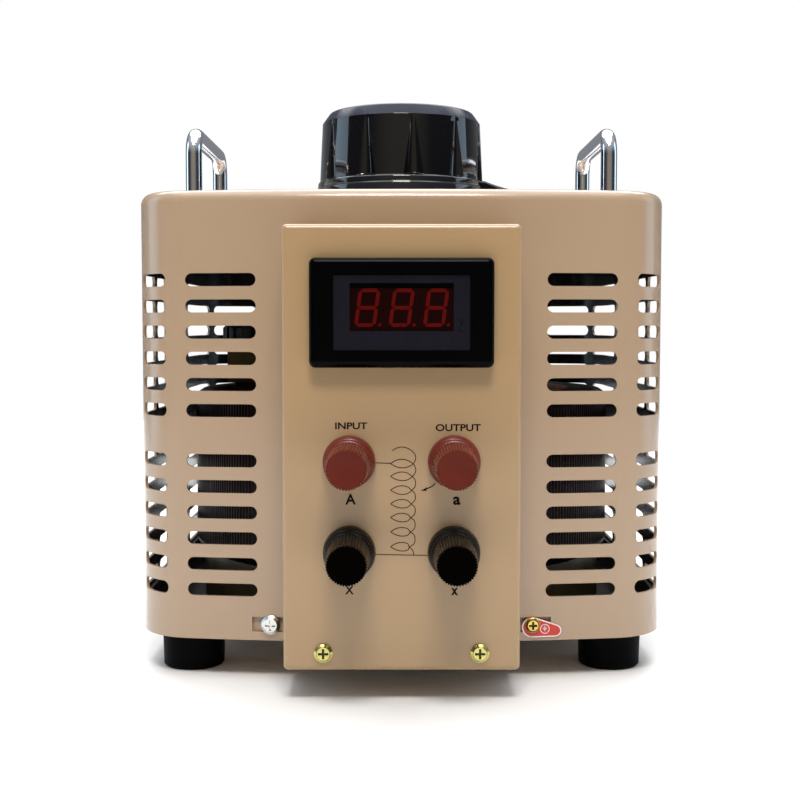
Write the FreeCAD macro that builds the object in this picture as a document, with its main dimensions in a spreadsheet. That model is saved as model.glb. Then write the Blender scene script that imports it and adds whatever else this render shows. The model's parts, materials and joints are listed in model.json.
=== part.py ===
"""Bench variable autotransformer: a louvred sheet casing round a toroid with a sweeping brush.

Millimetres, +Z up. The origin is on the floor, under the middle of the whole object.
-Y is the front with the meter and the four terminals, +X is to the right of someone facing it.
"""
import FreeCAD, Part
import math
import os
import re
import Sketcher
from FreeCAD import Placement, Rotation, Vector

doc = FreeCAD.newDocument("VariableTransformer")

# ---------------------------------------------------------------- driving dimensions
SIZES = {
    # casing and base
    "casing_width": 212, "casing_depth": 200, "casing_height": 177.2, "casing_sheet": 1.2,
    "bow_radius": 560, "corner_radius": 24, "top_edge_radius": 4.5,
    "tray_height": 16, "tray_sheet": 1.5, "tray_gap": 0.3,
    "slot_height": 5.1, "slot_pitch": 10.25, "slot_rows": 6,
    "upper_slot_z": 158.1, "lower_slot_z": 87.1,
    "front_slot_start": 56.8, "front_slot_length": 28,
    "front_corner_start": 27.3, "front_corner_end": 68,
    "side_slot_length": 22, "side_slot_pitch": 26, "side_slot_count": 4,
    "side_slot_offset": 28, "side_corner_end": 31,
    "rear_slot_length": 28, "rear_slot_strip": 7.5, "rear_corner_start": 40,
    "rear_corner_tail": 7.5,
    "wire_hole_x": 33, "wire_hole_z": 73.5, "wire_hole_radius": 10,
    "notch_height": 5.9, "notch_inner": 40, "notch_outer": 59,
    # feet
    "foot_height": 16, "foot_top_radius": 12.8, "foot_bottom_radius": 12.4,
    "foot_inset": 19.8, "foot_spacing": 142, "foot_bore_radius": 5.5, "foot_bore_depth": 8,
    # front panel and its brackets
    "panel_width": 88, "panel_height": 165, "panel_bottom": 12.2, "panel_stand_off": 28,
    "panel_sheet": 1.5, "panel_bend_radius": 2, "panel_gap": 0.3,
    "bracket_sheet": 1.5, "foot_bracket_width": 72, "foot_bracket_tongue": 20,
    "foot_bracket_lip": 11, "top_bracket_width": 50, "top_bracket_lip": 14,
    "top_bracket_reach": 22,
    # carrying handles
    "handle_inset": 16.5, "handle_span": 80, "handle_rod_radius": 3.5, "handle_rise": 32.8,
    "handle_bend_radius": 9, "handle_stud_radius": 2.9, "handle_stud_length": 9,
    "handle_nut_radius": 5.8, "handle_nut_height": 4.5,
    # screws
    "panel_screw_x": 29, "panel_screw_z": 19, "panel_screw_head": 3.5,
    "casing_screw_x": 51.5, "casing_screw_z": 22.4, "casing_screw_head": 3.8,
    "earth_screw_head": 3, "screw_head_height": 2, "screw_shank_radius": 1.9,
    "screw_length": 7, "screw_recess_width": 0.9, "screw_recess_depth": 1.1,
    "screw_hole_clearance": 0.1, "leaning_screw_clearance": 0.5,
    "earth_label_sheet": 0.4, "label_drop": 1, "label_reach": 9.3, "label_fall": 1.5,
    "label_large_radius": 4.1, "label_small_radius": 2.5,
    # shaft, dial and knob
    "shaft_radius": 6, "shaft_running_gap": 0.05, "shaft_bottom": 24,
    "dial_radius": 72, "dial_sheet": 0.8, "dial_hole_radius": 9, "dial_lift": 2.3,
    "knob_base_radius": 38.5, "knob_top_radius": 36, "knob_skirt_height": 6.6,
    "knob_ring_height": 3, "knob_grip_height": 27, "knob_bevel": 3.5,
    "knob_cavity_radius": 33, "knob_cavity_height": 12, "knob_boss_radius": 11,
    "knob_flutes": 11, "flute_bottom_radius": 4.6, "flute_top_radius": 2.4,
    "pointer_reach": 58, "pointer_root_width": 30, "pointer_tip_width": 5,
    "pointer_height": 12.5, "pointer_tip_height": 4.5,
    "shaft_in_knob": 24, "grub_lift": 12, "grub_radius": 2.5, "grub_length": 6,
    "stop_pin_radius": 2.5, "stop_pin_offset": 28, "stop_pin_rise": 8,
    "stop_head_radius": 4.5, "stop_head_height": 2.5, "stop_gap_angle": 20,
    "stop_clearance": 0.3,
    # core, winding and their clamp
    "winding_radius": 94.5, "winding_bore": 50, "winding_bottom": 40, "winding_height": 72,
    "winding_wall": 4, "winding_round": 5, "winding_arc": 344,
    "cheek_thickness": 1.7, "cheek_clearance": 0.3,
    "insulator_outer": 91, "insulator_inner": 60,
    "tube_radius": 13, "tube_bore": 9, "tube_top": 104, "tube_flange_radius": 44,
    "tube_flange_thickness": 5,
    "bush_length": 12, "bush_seat_gap": 0.02,
    "clamp_radius": 60, "clamp_dish_radius": 48.5, "clamp_dish_depth": 12,
    "clamp_sheet": 2, "clamp_web": 3, "clamp_bore_gap": 0.4,
    "clamp_bolt_circle": 36, "clamp_bolt_radius": 3, "clamp_bolt_head": 5.8,
    "clamp_bolt_head_height": 4, "clamp_bolt_gap": 0.3, "clamp_nut_height": 5,
    # brush gear
    "disc_holder_gap": 3.85, "disc_thickness": 2.5, "disc_lift": 4, "hub_radius": 13,
    "hub_flange_radius": 18, "hub_flange_height": 2.5, "hub_rise": 18,
    "hub_sleeve_radius": 10, "hub_seat_gap": 0.3,
    "brush_radius": 72, "brush_length": 10, "brush_width": 8, "brush_height": 10,
    "brush_slide_gap": 0.15, "brush_track_gap": 0.1,
    "holder_wall": 3, "holder_lift": 2, "holder_height": 14, "holder_arm_inner": 40,
    "holder_arm_width": 18, "holder_arm_sheet": 2.5,
    "cap_radius": 11, "cap_height": 13, "cap_bore": 4.2, "cap_roof": 2.5,
    "cap_ribs": 16, "cap_rib_gap_width": 1.8, "cap_rib_gap_depth": 1.5,
    "spring_outer": 3.6, "spring_inner": 2.8,
    # voltmeter
    "meter_z": 144.8, "bezel_width": 67.2, "bezel_height": 39.9, "bezel_thickness": 6,
    "bezel_round": 2.4, "face_width": 49.8, "face_height": 27.6, "face_recess": 2,
    "barrel_width": 61, "barrel_height": 33, "barrel_depth": 21, "barrel_wall": 2,
    "barrel_gap": 0.3, "window_thickness": 1.2, "window_gap": 0.15,
    "led_width": 37.6, "led_height": 17.8, "led_depth": 7, "led_gap": 0.2,
    "board_thickness": 1.6, "board_gap": 0.4,
    "transformer_length": 16, "transformer_depth": 10, "transformer_height": 14,
    "transformer_offset": 24,
    "terminal_length": 20, "terminal_depth": 8, "terminal_height": 8, "terminal_offset": 4,
    "terminal_drop": 10, "clip_length": 11, "clip_width": 8, "clip_thickness": 1.4,
    # terminals
    "post_x": 19.3, "upper_post_z": 90.2, "lower_post_z": 56.7,
    "collar_radius": 9.75, "collar_front_radius": 9.1, "collar_thickness": 5,
    "spigot_radius": 5.5, "spigot_gap": 0.15,
    "stud_radius": 3, "stud_gap": 0.08, "stud_rear": 14, "stud_in_cap": 14,
    "washer_radius": 7, "washer_thickness": 1.2,
    "cap_base_radius": 8.6, "cap_base_length": 2, "cap_waist_radius": 8.1,
    "cap_front_radius": 7.1, "cap_length": 21.8, "cap_bore_depth": 16.5,
    "cap_edge": 0.5,
    "insulator_radius": 8, "insulator_thickness": 3,
    "post_nut_radius": 5.8, "post_nut_height": 3.4, "tag_thickness": 0.8,
    "tag_radius": 5.2, "tag_tail": 12, "tag_tail_width": 5,
    # internal leads
    "lead_radius": 1.4, "lead_gap": 0.4, "brush_lead_z": 20, "tap_gap": 0.3,
}

# Places worked out from the driving dimensions.
PLACES = {
    "post_reach": "collar_thickness + washer_thickness + cap_length",
    "casing_y": "(panel_stand_off + post_reach) / 2",
    "foot_x": "casing_width / 2 - foot_inset",
    "handle_x": "casing_width / 2 - handle_inset",
    "front_y": "casing_y - casing_depth / 2",
    "rear_y": "casing_y + casing_depth / 2",
    "panel_y": "front_y - panel_stand_off",
    "bow_y": "front_y + bow_radius",
    "top_z": "foot_height + casing_height",
    "floor_z": "foot_height + tray_sheet",
    "panel_top": "panel_bottom + panel_height",
    "handle_top": "top_z + handle_rise",
    "dial_top": "top_z + dial_sheet",
    "knob_z": "dial_top + dial_lift",
    "knob_ring_z": "knob_z + knob_skirt_height",
    "knob_grip_z": "knob_ring_z + knob_ring_height",
    "knob_top": "knob_grip_z + knob_grip_height + knob_bevel",
    "shaft_top": "knob_z + knob_cavity_height + shaft_in_knob - 4",
    "winding_top": "winding_bottom + winding_height",
    "disc_z": "winding_top + disc_lift",
    "hub_z": "disc_z + hub_rise",
    "disc_radius": "brush_radius - brush_length / 2 - brush_slide_gap - holder_wall - disc_holder_gap",
    "brush_top": "winding_top + brush_track_gap + brush_height",
    "holder_z": "winding_top + holder_lift",
    "holder_top": "holder_z + holder_height",
    "collar_y": "panel_y - collar_thickness",
    "washer_y": "collar_y - washer_thickness",
    "rear_panel_y": "panel_y + panel_sheet",
    "corner_x": "casing_width / 2 - corner_radius",
    "corner_inset": "bow_radius - sqrt((bow_radius - corner_radius) ^ 2 - corner_x ^ 2)",
    "corner_end_x": "bow_radius * corner_x / (bow_radius - corner_radius)",
    "knob_grub_z": "knob_grip_z + grub_lift",
    "knob_stop_half": "stop_pin_offset * sin(stop_gap_angle) - stop_pin_radius - stop_clearance",
    "hub_grub_z": "disc_z + grub_lift",
}

UP = Vector(0, 0, 1)
BRUSH_LEAD_ANGLE = -65

FACING = {
    "up": Rotation(),
    "front": Rotation(Vector(1, 0, 0), 90),
    "rear": Rotation(Vector(1, 0, 0), -90),
    "right": Rotation(Vector(0, 1, 0), 90),
    "left": Rotation(Vector(0, 1, 0), -90),
}


def fill_sheet():
    """Writes the driving dimensions into the spreadsheet, one row each."""
    table = doc.addObject("Spreadsheet::Sheet", "Sizes")
    for row, (alias, value) in enumerate(SIZES.items(), 1):
        table.set(f"A{row}", alias)
        table.set(f"B{row}", str(value))
        table.setAlias(f"B{row}", alias)
    doc.recompute()
    return table


def linked(text):
    """Names the spreadsheet or the set of places before each of their words in a formula."""
    def owner(match):
        word = match.group()
        if word in SIZES:
            return "Sizes." + word
        return "Places." + word if word in PLACES else word
    return re.sub(r"[a-z_]+[a-z0-9_]*", owner, text)


def fill_places():
    """Makes the worked out places, each bound to its formula."""
    holder = doc.addObject("App::VarSet", "Places")
    for name, formula in PLACES.items():
        holder.addProperty("App::PropertyFloat", name)
        holder.setExpression(name, linked(formula))
    doc.recompute()
    return holder


sizes = fill_sheet()
places = fill_places()


def num(name):
    """The present value of a size or a place."""
    return float(getattr(sizes if name in SIZES else places, name))


# ---------------------------------------------------------------- building helpers
def bind(item, **formulas):
    """Binds properties of an object to formulas."""
    for name, formula in formulas.items():
        item.setExpression(name, linked(formula))
    return item


def put(item, x="0", y="0", z="0", facing="up"):
    """Binds where an object stands, after turning its own +Z to a named or given direction."""
    heading = FACING[facing] if isinstance(facing, str) else facing
    item.Placement = Placement(Vector(), heading)
    for axis, formula in (("x", x), ("y", y), ("z", z)):
        item.setExpression(f"Placement.Base.{axis}", linked(formula))
    return item


def turn(item, angle, axis=UP):
    """Binds an object's turn in degrees about an axis through its own origin."""
    item.Placement = Placement(item.Placement.Base, Rotation(axis, 1))
    item.setExpression("Placement.Rotation.Angle", linked(angle))
    return item


def box(name, size, corner):
    """A block with its lowest corner at the given place."""
    item = bind(doc.addObject("Part::Box", name), Length=size[0], Width=size[1], Height=size[2])
    return put(item, *corner)


def rod(name, radius, height, place, facing="up"):
    """A round bar that starts at the given place."""
    item = bind(doc.addObject("Part::Cylinder", name), Radius=radius, Height=height)
    return put(item, *place, facing=facing)


def hexagon(name, radius, height, place, facing="up"):
    """A hexagonal bar that starts at the given place."""
    item = doc.addObject("Part::Prism", name)
    item.Polygon = 6
    bind(item, Circumradius=radius, Height=height)
    return put(item, *place, facing=facing)


def fuse(name, *items):
    """One solid of several that touch."""
    item = doc.addObject("Part::MultiFuse", name)
    item.Shapes = list(items)
    item.Refine = True
    return item


def cut(name, base, *tools):
    """A solid with one or more tools taken away."""
    item = doc.addObject("Part::Cut", name)
    item.Base = base
    item.Tool = tools[0] if len(tools) == 1 else group(name + "_tools", tools)
    return item


def group(name, items):
    """Several separate solids kept together."""
    item = doc.addObject("Part::Compound", name)
    item.Links = list(items)
    return item


def copies(name, master, spots):
    """Separate copies of one piece, each placed (and turned about Z) by formulas."""
    links = []
    for index, spot in enumerate(spots):
        link = doc.addObject("App::Link", f"{name}_{index}")
        link.LinkedObject = master
        link.LinkTransform = True
        link.LinkPlacement = Placement(Vector(), Rotation(UP, 1))
        for axis, formula in zip("xyz", spot[:3]):
            link.setExpression(f"LinkPlacement.Base.{axis}", linked(formula))
        link.setExpression("LinkPlacement.Rotation.Angle", linked(spot[3] if spot[3:] else "0"))
        links.append(link)
    return group(name, links)


def new_sketch(body, name, plane):
    """A sketch on one of a body's own origin planes."""
    item = body.newObject("Sketcher::SketchObject", name)
    support = [f for f in body.Origin.OriginFeatures if f.Role == plane][0]
    item.AttachmentSupport = [(support, "")]
    item.MapMode = "FlatFace"
    return item


def pin_corner(item, edge, across, up):
    """Fixes the start of a sketch edge at two formulas, measured from the sketch's origin."""
    start = item.Geometry[edge].StartPoint
    for kind, formula, axis, now in (("DistanceX", across, -2, start.x),
                                     ("DistanceY", up, -1, start.y)):
        if formula == "0":
            item.addConstraint(Sketcher.Constraint("PointOnObject", edge, 1, axis))
            continue
        index = item.addConstraint(Sketcher.Constraint(kind, -1, 1, edge, 1, now))
        item.setExpression(f"Constraints[{index}]", linked(formula))


def polygon(item, corners):
    """Adds a closed outline with straight sides to a sketch, each corner fixed by formulas."""
    first = item.GeometryCount
    count = len(corners)
    ring = [0.3 + 2 * math.pi * index / count for index in range(count)]
    start = [Vector(10 + 5 * math.cos(a), 5 * math.sin(a), 0) for a in ring]
    for index in range(count):
        item.addGeometry(Part.LineSegment(start[index], start[(index + 1) % count]))
    for index in range(count):
        following = first + (index + 1) % count
        item.addConstraint(Sketcher.Constraint("Coincident", first + index, 2, following, 1))
    for index, (across, up) in enumerate(corners):
        pin_corner(item, first + index, across, up)


def turned(name, *outlines, place=("0", "casing_y", "0"), angle="360", facing="up"):
    """A body turned about its own Z from outlines of (radius, height) corners."""
    body = doc.addObject("PartDesign::Body", name)
    profile = new_sketch(body, name + "_profile", "XZ_Plane")
    for corners in outlines:
        polygon(profile, corners)
    spin = body.newObject("PartDesign::Revolution", name + "_turned")
    spin.Profile = profile
    spin.ReferenceAxis = (profile, ["V_Axis"])
    bind(spin, Angle=angle)
    return put(body, *place, facing=facing)


def tube_profile(inner, outer, low, high):
    """Four corners of a plain ring's section."""
    return [(inner, low), (outer, low), (outer, high), (inner, high)]


def padded(name, plane, corners, length, place):
    """A body pushed out from a straight-sided outline."""
    body = doc.addObject("PartDesign::Body", name)
    outline = new_sketch(body, name + "_outline", plane)
    polygon(outline, corners)
    pad = body.newObject("PartDesign::Pad", name + "_pad")
    pad.Profile = outline
    bind(pad, Length=length)
    put(body, *place)
    return body, pad


def rectangle(width, height):
    """Corners of a rectangle about the sketch's origin."""
    half_w, half_h = f"({width}) / 2", f"({height}) / 2"
    return [(f"-{half_w}", f"-{half_h}"), (half_w, f"-{half_h}"),
            (half_w, half_h), (f"-{half_w}", half_h)]


def edges_of(shape, wanted):
    """Names of the edges that pass a test."""
    return [f"Edge{n}" for n, edge in enumerate(shape.Edges, 1) if wanted(edge)]


def round_edges(body, name, base, wanted, radius):
    """Rounds the edges of a feature that pass a test."""
    doc.recompute()
    item = body.newObject("PartDesign::Fillet", name)
    item.Base = (base, edges_of(base.Shape, wanted))
    bind(item, Radius=radius)
    return item


def shelled(body, name, base, wanted, wall):
    """Hollows a feature to a wall, open at the faces that pass a test."""
    doc.recompute()
    item = body.newObject("PartDesign::Thickness", name)
    faces = [f"Face{n}" for n, face in enumerate(base.Shape.Faces, 1) if wanted(face)]
    item.Base = (base, faces)
    item.Reversed = True
    bind(item, Value=wall)
    return item


def is_upright(edge):
    """True for an edge that rises straight up."""
    box_ = edge.BoundBox
    return box_.ZLength > 1 and max(box_.XLength, box_.YLength) < 1e-3


def at_level(shape, axis, level):
    """True where all of an edge's or a face's corners lie at one level along an axis."""
    return all(abs(getattr(v, axis) - level) < 1e-4 for v in shape.Vertexes)


def sag(across):
    """Formula of how far the bowed front lies behind its middle, at a distance across."""
    return f"(bow_radius - sqrt(bow_radius ^ 2 - ({across}) ^ 2))"


# ---------------------------------------------------------------- casing and base
def bowed_block(name, inset, height, place):
    """A body with flat sides, bowed front and rear and round upright corners."""
    body = doc.addObject("PartDesign::Body", name)
    plan = new_sketch(body, name + "_plan", "XY_Plane")
    half = num("casing_width") / 2
    depth = num("casing_depth") / 2
    radius = num("bow_radius")
    side = depth - radius + math.sqrt(radius ** 2 - half ** 2)
    spread = math.asin(half / radius)
    front = Part.Circle(Vector(0, radius - depth, 0), UP, radius)
    rear = Part.Circle(Vector(0, depth - radius, 0), UP, radius)
    down, up = -math.pi / 2, math.pi / 2
    plan.addGeometry(Part.ArcOfCircle(front, down - spread, down + spread))
    plan.addGeometry(Part.LineSegment(Vector(half, -side, 0), Vector(half, side, 0)))
    plan.addGeometry(Part.ArcOfCircle(rear, up - spread, up + spread))
    plan.addGeometry(Part.LineSegment(Vector(-half, side, 0), Vector(-half, -side, 0)))
    for edge in range(4):
        plan.addConstraint(Sketcher.Constraint("Coincident", edge, 2, (edge + 1) % 4, 1))
    across = f"(casing_width / 2 - {inset})"
    bow = f"(bow_radius - {inset})"
    along = f"(casing_depth / 2 - bow_radius + sqrt({bow} ^ 2 - {across} ^ 2))"
    for edge, (sx, sy) in enumerate(((-1, -1), (1, -1), (1, 1), (-1, 1))):
        pin_corner(plan, edge, f"{sx} * {across}", f"{sy} * {along}")
    for edge in (0, 2):
        index = plan.addConstraint(Sketcher.Constraint("Radius", edge, radius))
        plan.setExpression(f"Constraints[{index}]", linked(bow))
    pad = body.newObject("PartDesign::Pad", name + "_pad")
    pad.Profile = plan
    bind(pad, Length=height)
    corners = round_edges(body, name + "_corners", pad, is_upright, f"corner_radius - {inset}")
    put(body, *place)
    return body, corners


def slot_cutter(length, height, depth):
    """A round-ended slot along X, centred on the origin, cut through along Y."""
    radius = height / 2
    middle = Part.makeBox(length - height, depth, height,
                          Vector(-(length - height) / 2, -depth / 2, -radius))
    ends = [Part.makeCylinder(radius, depth, Vector(side * (length - height) / 2, -depth / 2, 0),
                              Vector(0, 1, 0)) for side in (-1, 1)]
    return middle.fuse(ends)


def corner_cutter(start, end, centre, first_axis, height):
    """A slot bent round an upright corner, between two angles from the first axis."""
    radius = height / 2
    reach = num("corner_radius") + 4
    inset = math.degrees(radius / num("corner_radius"))
    low, high = start + inset, end - inset
    wedge = Part.makeCylinder(reach, height, Vector(0, 0, -radius), UP, high - low)
    wedge.rotate(Vector(), UP, low)
    ends = []
    for angle in (low, high):
        heading = Vector(math.cos(math.radians(angle)), math.sin(math.radians(angle)), 0)
        ends.append(Part.makeCylinder(radius, reach, Vector(), heading))
    tool = wedge.fuse(ends)
    tool.rotate(Vector(), UP, first_axis)
    tool.translate(centre)
    return tool


def mirrored(shape):
    """A shape together with its mirror image across the middle of the object."""
    return [shape, shape.mirror(Vector(), Vector(1, 0, 0))]


def feature(name, shape):
    """A piece whose shape is worked out by Part's own functions."""
    item = doc.addObject("Part::Feature", name)
    item.Shape = shape
    return item


def rear_corner_cutter(centre, height):
    """The long slot that starts on a rear corner and ends on the rear face."""
    radius = height / 2
    reach = num("corner_radius") + 4
    low = num("rear_corner_start") + math.degrees(radius / num("corner_radius"))
    end_x = num("corner_end_x") - num("rear_corner_tail") + radius
    wedge = Part.makeCylinder(reach, height, Vector(0, 0, -radius), UP, 90 - low)
    wedge.rotate(Vector(), UP, low)
    wedge.translate(centre)
    heading = Vector(math.cos(math.radians(low)), math.sin(math.radians(low)), 0)
    start = Part.makeCylinder(radius, reach, centre, heading)
    tail = Part.makeBox(centre.x - end_x, reach, height, Vector(end_x, centre.y, -radius))
    end = Part.makeCylinder(radius, reach, Vector(end_x, centre.y, 0), Vector(0, 1, 0))
    return wedge.fuse([start, tail, end])


def side_corner_cutter(centre, height):
    """The long slot that starts on a side wall and ends on a rear corner."""
    radius = height / 2
    reach = num("corner_radius") + 4
    high = num("side_corner_end") - math.degrees(radius / num("corner_radius"))
    start_y = (num("front_y") + num("side_slot_offset")
               + num("side_slot_count") * num("side_slot_pitch") + radius)
    wedge = Part.makeCylinder(reach, height, Vector(0, 0, -radius), UP, high)
    wedge.translate(centre)
    heading = Vector(math.cos(math.radians(high)), math.sin(math.radians(high)), 0)
    end = Part.makeCylinder(radius, reach, centre, heading)
    tail = Part.makeBox(reach, centre.y - start_y, height, Vector(centre.x, start_y, -radius))
    start = Part.makeCylinder(radius, reach, Vector(centre.x, start_y, 0), Vector(1, 0, 0))
    return wedge.fuse([end, tail, start])


def vent_row():
    """The tools for one level of ventilation slots, round the whole casing."""
    height, depth = num("slot_height"), num("corner_radius")
    length = num("front_slot_length")
    front = slot_cutter(length, height, depth)
    front.translate(Vector(num("front_slot_start") + length / 2, num("front_y") + depth / 4, 0))
    front_corner = Vector(num("corner_x"), num("front_y") + num("corner_inset"), 0)
    rear_corner = Vector(num("corner_x"), num("rear_y") - num("corner_inset"), 0)
    tools = mirrored(front)
    tools += mirrored(corner_cutter(num("front_corner_start"), num("front_corner_end"),
                                    front_corner, -90, height))
    tools += mirrored(rear_corner_cutter(rear_corner, height))
    tools += mirrored(side_corner_cutter(rear_corner, height))
    for index in range(int(num("side_slot_count"))):
        side = slot_cutter(num("side_slot_length"), height, depth)
        side.rotate(Vector(), UP, 90)
        along = num("side_slot_offset") + index * num("side_slot_pitch")
        side.translate(Vector(num("casing_width") / 2,
                              num("front_y") + along + num("side_slot_length") / 2, 0))
        tools += mirrored(side)
    outer = num("corner_end_x") - num("rear_corner_tail") - num("rear_slot_strip")
    for index in range(2):
        rear = slot_cutter(num("rear_slot_length"), height, depth)
        step = index * (num("rear_slot_length") + num("rear_slot_strip"))
        rear.translate(Vector(outer - step - num("rear_slot_length") / 2,
                              num("rear_y") - depth / 4, 0))
        tools += mirrored(rear)
    return tools


def vent_tools():
    """All the slot tools: two groups of levels, one above the other."""
    row = vent_row()
    tools = []
    for top in (num("upper_slot_z"), num("lower_slot_z")):
        for level in range(int(num("slot_rows"))):
            lift = Vector(0, 0, top - level * num("slot_pitch"))
            tools += [tool.translated(lift) for tool in row]
    return feature("vent_tools", Part.makeCompound(tools))


HANDLE_SPOTS = [(side, end) for side in (-1, 1) for end in (-1, 1)]


def hole_up(name, radius, x, y, low, high):
    """A tool for an upright hole between two levels."""
    return rod(name, radius, f"({high}) - ({low}) + 2", (x, y, f"{low} - 1"))


def make_casing():
    """The slotted shell: four walls and the top in one sheet, open underneath."""
    body, corners = bowed_block("casing_blank", "0", "casing_height",
                                ("0", "casing_y", "foot_height"))
    height = num("casing_height")
    rounded = round_edges(body, "casing_top_edge", corners,
                          lambda e: at_level(e, "Z", height), "top_edge_radius")
    shelled(body, "casing_shell", rounded, lambda f: at_level(f, "Z", 0), "casing_sheet")
    ceiling = "top_z - casing_sheet"
    tools = [vent_tools(), hole_up("shaft_way", "dial_hole_radius", "0", "casing_y",
                                   ceiling, "top_z")]
    tools.append(hole_up("stop_way", "stop_pin_radius + screw_hole_clearance", "0",
                         "casing_y + stop_pin_offset", ceiling, "top_z"))
    for index, (side, end) in enumerate(HANDLE_SPOTS):
        tools.append(hole_up(f"handle_way_{index}", "handle_stud_radius + screw_hole_clearance",
                             f"{side} * handle_x", f"casing_y + {end} * handle_span / 2",
                             ceiling, "top_z"))
    for side, label in ((-1, "left"), (1, "right")):
        tools.append(rod(f"wire_way_{label}", "wire_hole_radius", "corner_radius",
                         (f"{side} * wire_hole_x", "front_y + corner_radius / 2",
                          "wire_hole_z"), "front"))
        tools.append(box(f"notch_{label}",
                         ("notch_outer - notch_inner", "corner_radius / 2", "notch_height"),
                         (f"{side} * (notch_outer + notch_inner) / 2"
                          " - (notch_outer - notch_inner) / 2", "front_y",
                          "casing_screw_z - notch_height / 2")))
        tools.append(rod(f"rear_screw_way_{label}", "screw_shank_radius + screw_hole_clearance",
                         "corner_radius / 2", (f"{side} * casing_screw_x", "rear_y",
                                               "casing_screw_z"), "front"))
    return cut("casing", body, *tools)


FEET = [(f"{side} * foot_x", f"casing_y + {end} * foot_spacing / 2")
        for side in (-1, 1) for end in (-1, 1)]


def bolt_spots():
    """Plan positions of the three bolts that hold the core down."""
    spots = []
    for angle in (30, 150, 270):
        spots.append((f"clamp_bolt_circle * cos({angle})",
                      f"casing_y + clamp_bolt_circle * sin({angle})"))
    return spots


BOLTS = bolt_spots()


def bolt_ways(name, low, high):
    """Tools for the three core bolts' clearance holes."""
    return [hole_up(f"{name}_{n}", "clamp_bolt_radius + clamp_bolt_gap", x, y, low, high)
            for n, (x, y) in enumerate(BOLTS)]


def make_base_plate():
    """The tray that closes the casing from below and carries everything inside."""
    inset = "(casing_sheet + tray_gap)"
    body, corners = bowed_block("tray_blank", inset, "tray_height",
                                ("0", "casing_y", "foot_height"))
    height = num("tray_height")
    shelled(body, "tray_shell", corners, lambda f: at_level(f, "Z", height), "tray_sheet")
    tools = bolt_ways("tray_bolt_way", "foot_height", "floor_z")
    for index, (x, y) in enumerate(FEET):
        tools.append(hole_up(f"foot_way_{index}", "screw_shank_radius + screw_hole_clearance",
                             x, y, "foot_height", "floor_z"))
    for side, label in ((-1, "left"), (1, "right")):
        tools.append(rod(f"tray_screw_way_{label}", "screw_shank_radius + leaning_screw_clearance",
                         "casing_depth + 2", (f"{side} * casing_screw_x", "rear_y + 1",
                                              "casing_screw_z"), "front"))
    return cut("base_plate", body, *tools)


# ---------------------------------------------------------------- screws
def pan_screw(name, head_radius):
    """A cross-headed screw that points to the rear, its head's seat at its own origin."""
    corners = [("0", "-screw_length"), ("screw_shank_radius", "-screw_length"),
               ("screw_shank_radius", "0"), (head_radius, "0"),
               (head_radius, "screw_head_height / 2"),
               (f"{head_radius} * 0.7", "screw_head_height"), ("0", "screw_head_height")]
    blank = turned(name + "_blank", corners, place=("0", "0", "0"), facing="front")
    reach = f"({head_radius}) * 1.1"
    low = "-screw_head_height"
    flat = box(name + "_flat", (reach, "screw_recess_depth", "screw_recess_width"),
               (f"-{reach} / 2", low, "-screw_recess_width / 2"))
    upright = box(name + "_upright", ("screw_recess_width", "screw_recess_depth", reach),
                  ("-screw_recess_width / 2", low, f"-{reach} / 2"))
    return cut(name, blank, flat, upright)


def make_screws():
    """The screws that can be seen from outside, each set in its own finish."""
    panel = pan_screw("panel_screw", "panel_screw_head")
    copies("panel_screws", panel, [(f"{side} * panel_screw_x", "panel_y", "panel_screw_z")
                                   for side in (-1, 1)])
    casing = pan_screw("casing_screw", "casing_screw_head")
    lean = "asin(casing_screw_x / bow_radius)"
    across = "casing_screw_x"
    copies("casing_screws", casing, [
        (f"-{across}", f"front_y + {sag(across)}", "casing_screw_z", f"-{lean}"),
        (f"-{across}", f"rear_y - {sag(across)}", "casing_screw_z", f"180 deg + {lean}"),
        (across, f"rear_y - {sag(across)}", "casing_screw_z", f"180 deg - {lean}")])
    earth = pan_screw("earth_stud", "earth_screw_head")
    out = "earth_label_sheet"
    copies("earth_screw", earth, [
        (f"{across} + {out} * sin({lean})", f"front_y + {sag(across)} - {out} * cos({lean})",
         "casing_screw_z", lean)])


def make_earth_label():
    """The small drop-shaped plate under the earth screw, with a clear hole for it."""
    large, small = "label_large_radius", "label_small_radius"
    lean = "atan(label_fall / label_reach)"
    spread = f"acos(({large} - {small}) / sqrt(label_fall ^ 2 + label_reach ^ 2))"
    ends = (("large", large, "0", "-label_drop"),
            ("small", small, "label_reach", "-label_drop - label_fall"))
    corners = [(f"{x} + {radius} * cos({lean} + {spread})", f"{z} - {radius} * sin({lean} + {spread})")
               for _, radius, x, z in ends]
    corners += [(f"{x} + {radius} * cos({spread} - {lean})", f"{z} + {radius} * sin({spread} - {lean})")
                for _, radius, x, z in reversed(ends)]
    web, _ = padded("label_web", "XZ_Plane", corners, "earth_label_sheet", ("0", "0", "0"))
    rounds = [rod(f"label_{end}_end", radius, "earth_label_sheet", (x, "0", z), "front")
              for end, radius, x, z in ends]
    hole = rod("label_hole", "screw_shank_radius + screw_hole_clearance", "4 * screw_length",
               ("0", "2 * screw_length", "0"), "front")
    label = cut("label_plate", fuse("label_blank", web, *rounds), hole)
    copies("earth_label", label, [
        ("casing_screw_x", f"front_y + {sag('casing_screw_x')}", "casing_screw_z",
         "asin(casing_screw_x / bow_radius)")])


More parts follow.
